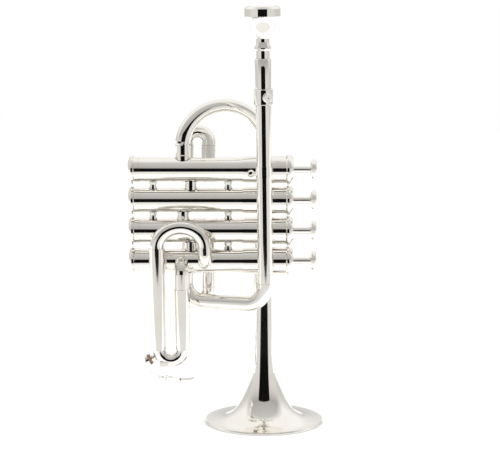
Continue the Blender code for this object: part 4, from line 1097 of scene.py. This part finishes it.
def build_mouthpiece():
    seat = LEADPIPE_TOP + GAP
    shank_end = LEADPIPE_TOP - RECEIVER_DEPTH + GAP
    rim_middle = (MOUTHPIECE_RIM_R + CUP_MOUTH_R) / 2
    throat_z = MOUTHPIECE_TOP - CUP_DEPTH
    profile = [
        (rim_middle, MOUTHPIECE_TOP),
        (MOUTHPIECE_RIM_R - 0.0012, MOUTHPIECE_TOP - 0.0006),
        (MOUTHPIECE_RIM_R, MOUTHPIECE_TOP - 0.0022),
        (MOUTHPIECE_RIM_R, MOUTHPIECE_RIM_BOTTOM + 0.0006),
        (MOUTHPIECE_RIM_R - 0.0006, MOUTHPIECE_RIM_BOTTOM),
        (0.0120, 0.3462),
        (0.0115, 0.3445),
        (MOUTHPIECE_CUP_R, 0.3432),
        (MOUTHPIECE_CUP_R - 0.0002, 0.3400),
        (0.0092, 0.3362),
        (0.0074, 0.3330),
        (MOUTHPIECE_NECK_R, 0.3308),
        (MOUTHPIECE_NECK_R, 0.3262),
        (0.0067, 0.3240),
        (0.0067, 0.3224),
        (MOUTHPIECE_NECK_R, 0.3209),
        (MOUTHPIECE_NECK_R, seat),
        (SHANK_TOP_R, seat),
        (SHANK_BOTTOM_R, shank_end),
        (BACKBORE_R, shank_end),
        (THROAT_R, throat_z - 0.0060),
        (THROAT_R, throat_z),
        (0.55 * CUP_MOUTH_R, throat_z + 0.0024),
        (0.86 * CUP_MOUTH_R, throat_z + 0.0056),
        (CUP_MOUTH_R, MOUTHPIECE_TOP - 0.0016),
    ]
    leadpipe_piece("mouthpiece", profile, MOUTHPIECE_SIDES)


def build_leadpipe_brace():
    """A round foot on valve 1's sleeve and a short rod to the ferrule on the leadpipe's sleeve."""
    foot_face = VALVE_Y - SLEEVE_R - GAP
    origin = at(BRACE_FOOT_X, foot_face, BRACE_Z)
    profile = [
        (0.0, 0.0034),
        (0.6 * BRACE_FOOT_R, 0.0031),
        (0.92 * BRACE_FOOT_R, 0.0020),
        (BRACE_FOOT_R, 0.0010),
        (BRACE_FOOT_R, -0.0020),
        (0.0, -0.0020),
    ]
    brace = turned("leadpipe_brace", profile, origin, -Y_AXIS, SMALL_SIDES)
    far = leadpipe(BRACE_Z)
    near = origin - Y_AXIS * BRACE_ROD_ROOT
    join(brace, rod_cutter("leadpipe_brace_rod", near, far, BRACE_ROD_R, ROD_SIDES))
    seat_start = leadpipe(BRACE_FERRULE_BOTTOM - BRACE_SEAT_RUN_OUT)
    seat_end = leadpipe(BRACE_FERRULE_TOP + BRACE_SEAT_RUN_OUT)
    cut(brace, rod_cutter("leadpipe_brace_pipe", seat_start, seat_end, BRACE_FERRULE_R + GAP, ROUND_SIDES))
    sleeve_start = at(SLEEVE_FOOT_X, VALVE_Y, valve_z(1))
    sleeve_end = at(CASING_TOP_X, VALVE_Y, valve_z(1))
    cut(brace, rod_cutter("leadpipe_brace_seat", sleeve_start, sleeve_end, SLEEVE_R + GAP, ROUND_SIDES))


def build_bottom_bow():
    start = leadpipe(LOWER_FERRULE_TOP)
    shoulder = leadpipe(LOWER_FERRULE_BOTTOM - GAP)
    bend_z = BOTTOM_BOW_Z + BOTTOM_BOW_BEND
    right = leadpipe(bend_z)
    left = at(BOTTOM_PORT_X, VALVE_Y, bend_z)
    run = left - right
    across = Vector((run.x, run.y, 0)).normalized()
    straight = Vector((run.x, run.y, 0)).length - 2 * BOTTOM_BOW_BEND
    route = Route(start, shoulder - start, BOTTOM_SPIGOT_R, LEADPIPE_BORE_R)
    route.mark(shoulder)
    route.step(BOTTOM_BOW_R, BOTTOM_BOW_BORE_R)
    route.mark(Vector((right.x, right.y, bend_z)))
    route.heading = -Z_AXIS
    route.bend(across, BOTTOM_BOW_BEND, 90, BOTTOM_BOW_STEPS)
    route.ahead(straight)
    route.bend(Z_AXIS, BOTTOM_BOW_BEND, 90, BOTTOM_BOW_STEPS)
    route.mark(Vector((left.x, left.y, valve_z(VALVE_COUNT))))
    bow = route_tube("bottom_bow", route)
    saddle(bow, VALVE_COUNT)


def build_leadpipe_line():
    build_sleeve()
    build_collar()
    build_clamp_screw()
    build_leadpipe()
    build_mouthpiece()
    build_leadpipe_brace()
    build_bottom_bow()


# Fourth slide


def slide4_route(route):
    """Leans a route whose points are given for the upright slide."""
    route.points = [SLIDE4_TURN @ point for point in route.points]
    return route


def slide4_elbow(x, towards, ferrule_end):
    """Out of valve 4's side, round an elbow up or down, and through a ferrule."""
    route = Route(at(x, VALVE_Y, LOWEST_VALVE_Z), -Y_AXIS, SLIDE4_TUBE_R, SLIDE4_BORE_R)
    route.ahead(SLIDE4_FROM_VALVES - SLIDE4_ELBOW)
    route.bend(towards, SLIDE4_ELBOW, 90, ELBOW_STEPS)
    route.step(SLIDE4_FERRULE_R, SLIDE4_BORE_R)
    route.mark(at(x, SLIDE4_Y, ferrule_end))
    return route


def build_slide4_bow():
    """Port elbow, upper bow and outer leg of the fourth slide, which stay with the casings."""
    route = slide4_elbow(SLIDE4_SHORT_X, Z_AXIS, SLIDE4_BOW_Z)
    route.step(SLIDE4_TUBE_R, SLIDE4_BORE_R)
    half = (SLIDE4_SHORT_X - SLIDE4_OUTER_X) / 2
    middle_x = (SLIDE4_SHORT_X + SLIDE4_OUTER_X) / 2
    for i in range(1, SLIDE4_BOW_STEPS + 1):
        angle = math.pi * i / SLIDE4_BOW_STEPS
        z = SLIDE4_BOW_Z + SLIDE4_BOW_RISE * math.sin(angle)
        route.mark(at(middle_x + half * math.cos(angle), SLIDE4_Y, z))
    route.heading = -Z_AXIS
    route.step(SLIDE4_LEG_R, SLIDE4_BORE_R)
    route.ahead(SLIDE4_STOP)
    route.step(SLIDE4_LEG_R, SLIDE4_STOCKING_R + RUNNING_GAP)
    route.mark(at(SLIDE4_OUTER_X, SLIDE4_Y, SLIDE4_LEG_END))
    bow = route_tube("fourth_slide_bow", slide4_route(route))
    saddle(bow, VALVE_COUNT)


def build_slide4_leg():
    """The other outer leg, with its elbow into valve 4."""
    route = slide4_elbow(SLIDE4_INNER_X, -Z_AXIS, SLIDE4_FERRULE_BOTTOM)
    route.heading = -Z_AXIS
    route.step(SLIDE4_LEG_R, SLIDE4_STOCKING_R + RUNNING_GAP)
    route.mark(at(SLIDE4_INNER_X, SLIDE4_Y, SLIDE4_LEG_END))
    leg = route_tube("fourth_slide_leg", slide4_route(route))
    saddle(leg, VALVE_COUNT)


def build_slide4_crook():
    """The part of the fourth slide that pulls out: two stockings, the crook and the nipple."""
    start = at(SLIDE4_INNER_X, SLIDE4_Y, SLIDE4_LEG_END + SLIDE4_STOCKING)
    route = Route(start, -Z_AXIS, SLIDE4_STOCKING_R, SLIDE4_BORE_R)
    route.mark(at(SLIDE4_INNER_X, SLIDE4_Y, SLIDE4_CROOK_Z))
    route.step(SLIDE4_TUBE_R, SLIDE4_BORE_R)
    route.bend(-X_AXIS, SLIDE4_SPACING / 2, 180, SLIDE4_CROOK_STEPS)
    route.step(SLIDE4_STOCKING_R, SLIDE4_BORE_R)
    route.mark(at(SLIDE4_OUTER_X, SLIDE4_Y, SLIDE4_LEG_END + SLIDE4_STOCKING))
    crook = route_tube("fourth_slide_crook", slide4_route(route))
    centre = crook_centre()
    way = key_way()
    ring = SLIDE4_SPACING / 2
    root = ring + SLIDE4_TUBE_R - NIPPLE_ROOT
    seat = ring + SLIDE4_TUBE_R + NIPPLE_REACH
    profile = [
        (0.0, seat),
        (NIPPLE_FLANGE_R, seat),
        (NIPPLE_FLANGE_R, seat - NIPPLE_FLANGE),
        (NIPPLE_R, seat - NIPPLE_FLANGE - 0.0004),
        (NIPPLE_R, root),
        (0.0, root),
    ]
    join(crook, turned_cutter("nipple", profile, centre, way, SMALL_SIDES))
    drain_end = centre + way * (seat + DRAIN_RUN_OUT)
    cut(crook, rod_cutter("nipple_bore", centre + way * ring, drain_end, NIPPLE_BORE_R, DRAIN_SIDES))


# Water key


def crook_centre():
    return slide4(SLIDE4_CROOK_X, SLIDE4_Y, SLIDE4_CROOK_Z)


def key_way():
    """The way from the crook's centre out through the nipple and the cork."""
    angle = math.radians(KEY_TURN)
    return SLIDE4_TURN.to_3x3() @ Vector((-math.cos(angle), 0, -math.sin(angle)))


def key_frame():
    """Local frame of the water key: its origin is on the pivot's axis, and Y is along the pin."""
    pivot = at(SLIDE4_CROOK_X + PIVOT_X, SLIDE4_Y, SLIDE4_CROOK_Z + PIVOT_Z)
    return SLIDE4_TURN @ Matrix.Translation(pivot)


def along_pin(name, reach, radius, sides):
    """A round bar on the water key's axis, as long to each side as reach."""
    local = key_frame()
    pivot = local.translation
    way = local.to_3x3() @ Y_AXIS
    return rod_cutter(name, pivot - way * reach, pivot + way * reach, radius, sides)


def cork_seat():
    return SLIDE4_SPACING / 2 + SLIDE4_TUBE_R + NIPPLE_REACH + GAP


def build_cork():
    near = cork_seat()
    far = near + CORK_THICKNESS
    edge = 0.0003
    profile = [
        (0.0, far),
        (CORK_R, far),
        (CORK_R, near + edge),
        (CORK_R - edge, near),
        (0.0, near),
    ]
    turned("water_key_cork", profile, crook_centre(), key_way(), POST_SIDES, cork)


def plate_mesh(name, outline, thickness):
    """A flat plate in the local XZ plane, centred on Y."""
    shape = bmesh.new()
    low = [shape.verts.new((x, -thickness / 2, z)) for x, z in outline]
    face = shape.faces.new(low)
    result = bmesh.ops.extrude_face_region(shape, geom=[face])
    moved = [item for item in result["geom"] if isinstance(item, bmesh.types.BMVert)]
    bmesh.ops.translate(shape, verts=moved, vec=(0, thickness, 0))
    bmesh.ops.recalc_face_normals(shape, faces=shape.faces)
    return new_mesh(name, shape)


def ribbon(points, thickness):
    """Outline of a strip of even thickness along points in the XZ plane."""
    left = []
    right = []
    for i, point in enumerate(points):
        before = points[max(i - 1, 0)]
        after = points[min(i + 1, len(points) - 1)]
        along = (after - before).normalized()
        side = Vector((-along.y, along.x)) * thickness / 2
        left.append(point + side)
        right.append(point - side)
    return left + right[::-1]


def key_local(x, z):
    """A point given from the crook's centre, in the water key's frame."""
    return Vector((x - PIVOT_X, z - PIVOT_Z))


def build_key_lever():
    local = key_frame()
    angle = math.radians(KEY_TURN)
    out = Vector((-math.cos(angle), -math.sin(angle)))
    along = Vector((-out.y, out.x))
    cup_far = cork_seat() + CORK_THICKNESS + GAP + CORK_CUP_FLOOR
    cup_near = cork_seat() + CORK_THICKNESS - CORK_CUP_DEPTH
    cork_back = cork_seat() + CORK_THICKNESS + GAP
    back = key_local(*(out * (cup_far + 0.3 * KEY_ARM_THICKNESS)))
    low_edge = back + along * 0.6 * CORK_R
    bend = [
        back,
        low_edge,
        low_edge * 0.72 + Vector((-0.0022, -0.0030)),
        low_edge * 0.34 + Vector((-0.0030, -0.0016)),
        Vector((0.0, 0.0)),
    ]
    arm = plate_mesh("water_key_lever", ribbon(bend, KEY_ARM_THICKNESS), KEY_ARM_WIDTH)
    lever = add_part("water_key_lever", arm, silver, local)
    half = BARREL_LENGTH / 2
    join(lever, along_pin("key_barrel", half, BARREL_R, ROD_SIDES))
    cup = [
        (0.0, cup_far),
        (CORK_R + GAP + CORK_CUP_WALL, cup_far),
        (CORK_R + GAP + CORK_CUP_WALL, cup_near),
        (CORK_R + GAP, cup_near),
        (CORK_R + GAP, cork_back),
        (0.0, cork_back),
    ]
    join(lever, turned_cutter("key_cup", cup, crook_centre(), key_way(), POST_SIDES))
    tail_start = Vector((0.0, -0.0010))
    tail_end = Vector((THUMB_REACH - THUMB_LENGTH + 0.001, -0.0022))
    tail = plate_mesh("key_tail", ribbon([tail_start, tail_end], KEY_ARM_THICKNESS), KEY_ARM_WIDTH)
    join(lever, add_cutter("key_tail", tail, local))
    thumb_points = [
        Vector((THUMB_REACH - THUMB_LENGTH, -0.0026)),
        Vector((THUMB_REACH - 0.0025, -0.0024)),
        Vector((THUMB_REACH, -0.0012)),
    ]
    thumb = plate_mesh("key_thumb", ribbon(thumb_points, THUMB_THICKNESS), THUMB_WIDTH)
    join(lever, add_cutter("key_thumb", thumb, local))
    cut(lever, along_pin("key_hole", half + EAR_THICKNESS, KEY_PIN_R + GAP, PIN_HOLE_SIDES))


def build_key_saddle():
    """Two ears on a pad that is soldered under the crook."""
    local = key_frame()
    inner = BARREL_LENGTH / 2 + GAP
    width = 2 * (inner + EAR_THICKNESS)
    top = -PIVOT_Z - SLIDE4_SPACING / 2
    half = SADDLE_WIDTH / 2
    lean = -PIVOT_X * 0.25
    outline = [(half + lean, top), (-half + lean, top)]
    for i in range(EAR_STEPS + 1):
        angle = math.pi + math.pi * i / EAR_STEPS
        outline.append((EAR_R * math.cos(angle), EAR_R * math.sin(angle)))
    plate = plate_mesh("water_key_saddle", outline, width)
    piece = add_part("water_key_saddle", plate, silver, local)
    slot = box_cutter("saddle_slot", (-0.01, -inner, -0.01), (0.01, inner, SADDLE_SLOT_TOP), local)
    cut(piece, slot)
    ring = []
    for i in range(SADDLE_RING_STEPS + 1):
        angle = math.pi + math.pi * i / SADDLE_RING_STEPS
        x = SLIDE4_CROOK_X + SLIDE4_SPACING / 2 * math.cos(angle)
        z = SLIDE4_CROOK_Z + SLIDE4_SPACING / 2 * math.sin(angle)
        ring.append(slide4(x, SLIDE4_Y, z))
    room = swept_mesh("saddle_crook", ring, [SLIDE4_TUBE_R + GAP] * len(ring), TUBE_RESOLUTION)
    cut(piece, add_cutter("saddle_crook", room))
    reach = inner + 2 * EAR_THICKNESS
    cut(piece, along_pin("saddle_hole", reach, KEY_PIN_R + GAP, PIN_HOLE_SIDES))


def build_key_pin():
    reach = BARREL_LENGTH / 2 + GAP + EAR_THICKNESS + GAP
    profile = [
        (0.0, reach + KEY_PIN_HEAD),
        (0.8 * KEY_PIN_HEAD_R, reach + KEY_PIN_HEAD),
        (KEY_PIN_HEAD_R, reach + 0.6 * KEY_PIN_HEAD),
        (KEY_PIN_HEAD_R, reach),
        (KEY_PIN_R, reach),
        (KEY_PIN_R, -reach),
        (0.0, -reach),
    ]
    local = key_frame()
    turned("water_key_pin", profile, local.translation, -(local.to_3x3() @ Y_AXIS), ROD_SIDES)


def build_key_spring():
    """A torsion spring on the lever's barrel. One leg bears on the saddle, the other on the tail."""
    per_turn = KEY_SPRING_TURN_POINTS
    count = 2 * per_turn - per_turn // 4
    inner_y = KEY_ARM_WIDTH / 2 + GAP + KEY_SPRING_WIRE_R
    coil = []
    for i in range(count + 1):
        angle = -2 * math.pi * i / per_turn
        y = -inner_y - KEY_SPRING_PITCH * (count - i) / per_turn
        coil.append(Vector((KEY_SPRING_R * math.cos(angle), y, KEY_SPRING_R * math.sin(angle))))
    top = SADDLE_SLOT_TOP - GAP - KEY_SPRING_WIRE_R
    on_tail = KEY_ARM_THICKNESS / 2 - 0.0016 + GAP + KEY_SPRING_WIRE_R
    upper_leg = [Vector((coil[0].x, coil[0].y, top))]
    lower_leg = [
        Vector((0.8 * KEY_SPRING_LEG, coil[-1].y, on_tail + KEY_SPRING_WIRE_R)),
        Vector((KEY_SPRING_LEG, -0.2 * KEY_ARM_WIDTH, on_tail)),
    ]
    points = upper_leg + coil + lower_leg
    radii = [KEY_SPRING_WIRE_R] * len(points)
    mesh = swept_mesh("water_key_spring", points, radii, KEY_SPRING_RESOLUTION)
    add_part("water_key_spring", mesh, spring_steel, key_frame())


def build_water_key():
    build_cork()
    build_key_lever()
    build_key_saddle()
    build_key_pin()
    build_key_spring()


# Slides behind the valves


def rear_route(valve, x, lean, turn, leg):
    """Outer tube of a rear slide: out of the casing, round an elbow and along the slide's way.

    lean is the angle from the backward direction to the slide's way, and turn is the side, up or down.
    """
    start = at(x, VALVE_Y, valve_z(valve))
    route = Route(start, Y_AXIS, REAR_TUBE_R, REAR_BORE_R)
    route.ahead(REAR_ELBOW_REACH)
    if lean > 0:
        steps = max(2, round(lean / REAR_BEND_DEGREES))
        route.bend(Z_AXIS * turn, REAR_ELBOW, lean, steps)
    route.step(REAR_TUBE_R, REAR_LEG_BORE_R)
    route.ahead(leg)
    return route


def build_rear_slide(name, valve, lean, turn, leg, straight):
    """A pair of outer legs tied by a brace, and the crook that pulls out of them."""
    routes = [rear_route(valve, x, lean, turn, leg) for x in REAR_PORTS_X]
    names = (f"{name}_slide_legs", f"{name}_leg")
    first, other = [
        swept_mesh(label, route.points, route.radii, TUBE_RESOLUTION) for label, route in zip(names, routes)
    ]
    legs = add_part(names[0], first, silver)
    join(legs, add_cutter(names[1], other))
    way = routes[0].heading
    brace_at = [route.points[1] - Y_AXIS * REAR_BRACE_BACK for route in routes]
    join(legs, rod_cutter(f"{name}_brace", brace_at[0], brace_at[1], REAR_BRACE_R, REAR_BRACE_SIDES))
    for number, route in enumerate(routes):
        cut(legs, bore_cutter(f"{name}_bore_{number}", route))
    saddle(legs, valve)
    build_rear_crook(f"{name}_slide_crook", routes, way, leg, straight)


def build_rear_crook(name, routes, way, leg, straight):
    low, high = routes[0].points[-1], routes[1].points[-1]
    stocking = leg - STOCKING_CLEARANCE
    route = Route(low - way * stocking, way, REAR_STOCKING_R, REAR_BORE_R)
    route.mark(low + way * GAP)
    route.step(REAR_TUBE_R, REAR_BORE_R)
    route.ahead(straight)
    route.bend(X_AXIS, (high - low).length / 2, 180, REAR_CROOK_STEPS)
    route.ahead(straight)
    route.step(REAR_STOCKING_R, REAR_BORE_R)
    route.mark(high - way * stocking)
    route_tube(name, route)


def build_rear_slides():
    build_rear_slide("first", 1, 90 - FIRST_LEAN, 1, FIRST_LEG, FIRST_STRAIGHT)
    build_rear_slide("second", 2, 0, 1, SECOND_LEG, SECOND_STRAIGHT)
    build_rear_slide("third", 3, 90, -1, THIRD_LEG, THIRD_STRAIGHT)


def build_fourth_slide():
    build_slide4_bow()
    build_slide4_leg()
    build_slide4_crook()
    build_water_key()


def build_all():
    build_bell()
    build_valves()
    build_links()
    build_bow_ferrule()
    build_bell_bow()
    build_leadpipe_line()
    build_fourth_slide()
    build_rear_slides()


build_all()


# Pieces take the place of the CAD nodes and ride on their bodies


def body_of_node(name):
    for body, nodes in frame["record"]["behaviour"]["bodies"].items():
        if name in nodes:
            return body
    raise KeyError(name)


def finish_meshes():
    """Keeps each piece's built shape as its mesh and marks the edges that stay crisp."""
    depsgraph = bpy.context.evaluated_depsgraph_get()
    built = {}
    for name, piece in FINISHED.items():
        built[name] = bpy.data.meshes.new_from_object(piece.evaluated_get(depsgraph))
    for name, piece in FINISHED.items():
        piece.modifiers.clear()
        piece.data = built[name]
        shade(piece.data)
    for tool in list(CUTTERS.objects):
        bpy.data.objects.remove(tool)
    bpy.data.collections.remove(CUTTERS)


finish_meshes()
for node_name, piece in FINISHED.items():
    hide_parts(node_name)
    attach(piece, body_of_node(node_name))


# Studio


def card(name, centre, width, height, facing_way, color):
    """A flat card that shows only in reflections."""
    mesh = bpy.data.meshes.new(name)
    w, h = width / 2, height / 2
    mesh.from_pydata([(-w, -h, 0), (w, -h, 0), (w, h, 0), (-w, h, 0)], [], [(0, 1, 2, 3)])
    obj = bpy.data.objects.new(name, mesh)
    obj.matrix_world = facing(Vector(centre), facing_way)
    material = bpy.data.materials.new(name)
    material.use_nodes = True
    tree = material.node_tree
    tree.nodes.clear()
    glow = node(tree, "ShaderNodeEmission", Color=(*color, 1.0), Strength=1.0)
    out = tree.nodes.new("ShaderNodeOutputMaterial")
    tree.links.new(glow.outputs["Emission"], out.inputs["Surface"])
    mesh.materials.append(material)
    bpy.context.scene.collection.objects.link(obj)
    obj.visible_camera = False
    obj.visible_diffuse = False
    obj.visible_shadow = False
    return obj


FLOOR_FRONT = -0.30
FLOOR_REACH = 3.0
FLOOR_DROP = 0.0002


def build_floor():
    """Pale paper that ends a little in front of the object."""
    mesh = bpy.data.meshes.new("floor")
    near = [(-FLOOR_REACH, FLOOR_FRONT, 0), (FLOOR_REACH, FLOOR_FRONT, 0)]
    corners = near + [(FLOOR_REACH, FLOOR_REACH, 0), (-FLOOR_REACH, FLOOR_REACH, 0)]
    mesh.from_pydata(corners, [], [(0, 1, 2, 3)])
    obj = bpy.data.objects.new("floor", mesh)
    obj.location.z = -FLOOR_DROP
    material, tree, shader, place = surface("floor_paper", 0.0, 0.9)
    paper = node(tree, "ShaderNodeTexNoise", Vector=place, Scale=300.0, Detail=3.0)
    color = ramp(tree, paper.outputs["Fac"], [(0.3, (0.93, 0.93, 0.93)), (0.7, (0.95, 0.95, 0.95))])
    tree.links.new(color, shader.inputs["Base Color"])
    shader.inputs["Specular IOR Level"].default_value = 0.0
    mesh.materials.append(material)
    bpy.context.scene.collection.objects.link(obj)


# What the metal mirrors, from below to above: (share of the height, tone). The front is the camera's side.
FRONT_TONES = ((0.30, 0.95), (0.40, 0.80), (0.56, 0.72), (0.60, 0.62), (0.67, 0.44), (1.0, 0.62))
WHITE = (1.0, 1.0, 1.0, 1.0)
BACK_TONES = ((0.30, 0.90), (0.45, 0.66), (0.55, 0.66), (0.72, 1.0), (1.0, 1.0))


def greys(stops):
    """Stops of a grey ramp, from (position, level) pairs. The tone is a little warm."""
    return [(place, (tone, tone * 0.99, tone * 0.975)) for place, tone in stops]


def build_world():
    world = bpy.data.worlds.new("studio")
    bpy.context.scene.world = world
    world.use_nodes = True
    tree = world.node_tree
    tree.nodes.clear()
    out = tree.nodes.new("ShaderNodeOutputWorld")
    path = tree.nodes.new("ShaderNodeLightPath")
    place = tree.nodes.new("ShaderNodeTexCoord")
    split = node(tree, "ShaderNodeSeparateXYZ", Vector=place.outputs["Generated"])
    height = level(tree, split.outputs["Z"], 0.0, 1.0, start=-1.0)
    before = ramp(tree, height, greys(FRONT_TONES))
    after = ramp(tree, height, greys(BACK_TONES))
    depth = level(tree, split.outputs["Y"], 0.0, 1.0, start=-0.35, end=0.10)
    blend = node(tree, "ShaderNodeMixRGB", Fac=depth, Color1=before, Color2=after)
    sky = blend.outputs["Color"]
    seen = node(tree, "ShaderNodeBackground", Color=WHITE, Strength=1.0)
    mirrored = node(tree, "ShaderNodeBackground", Color=sky, Strength=1.0)
    soft = node(tree, "ShaderNodeBackground", Color=WHITE, Strength=1.0)
    first = node(tree, "ShaderNodeMixShader", Fac=path.outputs["Is Glossy Ray"])
    tree.links.new(soft.outputs["Background"], first.inputs[1])
    tree.links.new(mirrored.outputs["Background"], first.inputs[2])
    second = node(tree, "ShaderNodeMixShader", Fac=path.outputs["Is Camera Ray"])
    tree.links.new(first.outputs["Shader"], second.inputs[1])
    tree.links.new(seen.outputs["Background"], second.inputs[2])
    tree.links.new(second.outputs["Shader"], out.inputs["Surface"])


LIGHT_TARGET = Vector((0, 0, 0.1))


def area_light(name, location, size, power):
    light = bpy.data.lights.new(name, "AREA")
    light.shape = "SQUARE"
    light.size = size
    light.energy = power
    obj = bpy.data.objects.new(name, light)
    way = Vector(location) - LIGHT_TARGET
    obj.matrix_world = facing(Vector(location), way)
    obj.visible_glossy = False
    bpy.context.scene.collection.objects.link(obj)


CAMERA_FROM_BELL = Vector((-0.0121, -1.5149, 0.3973))
CAMERA_PITCH = 8.5
CAMERA_FOCAL_PX = 1800.0
PICTURE_WIDTH_PX = 500.0
SENSOR_MM = 36.0


def build_camera():
    data = bpy.data.cameras.new("camera")
    data.sensor_width = SENSOR_MM
    data.lens = CAMERA_FOCAL_PX / PICTURE_WIDTH_PX * SENSOR_MM
    data.clip_start = 0.01
    obj = bpy.data.objects.new("camera", data)
    obj.location = Vector((BELL_AXIS_X, BELL_AXIS_Y, 0)) + CAMERA_FROM_BELL
    obj.rotation_euler = (math.radians(90 - CAMERA_PITCH), 0, 0)
    bpy.context.scene.collection.objects.link(obj)
    bpy.context.scene.camera = obj


CARD_DISTANCE = 1.9
CARD_HALF_TURN = 30.0
CARD_LOW = -0.20
CARD_HIGH = 0.88
CARD_LEFT_OF_BELL = 0.005
DARK = (0.004, 0.004, 0.004)


card(
    "dark_card",
    centre=(BELL_AXIS_X - CARD_LEFT_OF_BELL, -CARD_DISTANCE, (CARD_LOW + CARD_HIGH) / 2),
    width=2 * CARD_DISTANCE * math.tan(math.radians(CARD_HALF_TURN)),
    height=CARD_HIGH - CARD_LOW,
    facing_way=Y_AXIS,
    color=DARK,
)
build_floor()
build_world()
area_light("key_light", (-1.2, -1.4, 2.2), size=1.6, power=22.0)
area_light("fill_light", (1.5, 0.6, 2.0), size=1.8, power=12.0)
build_camera()
bpy.context.scene.view_settings.view_transform = "Standard"
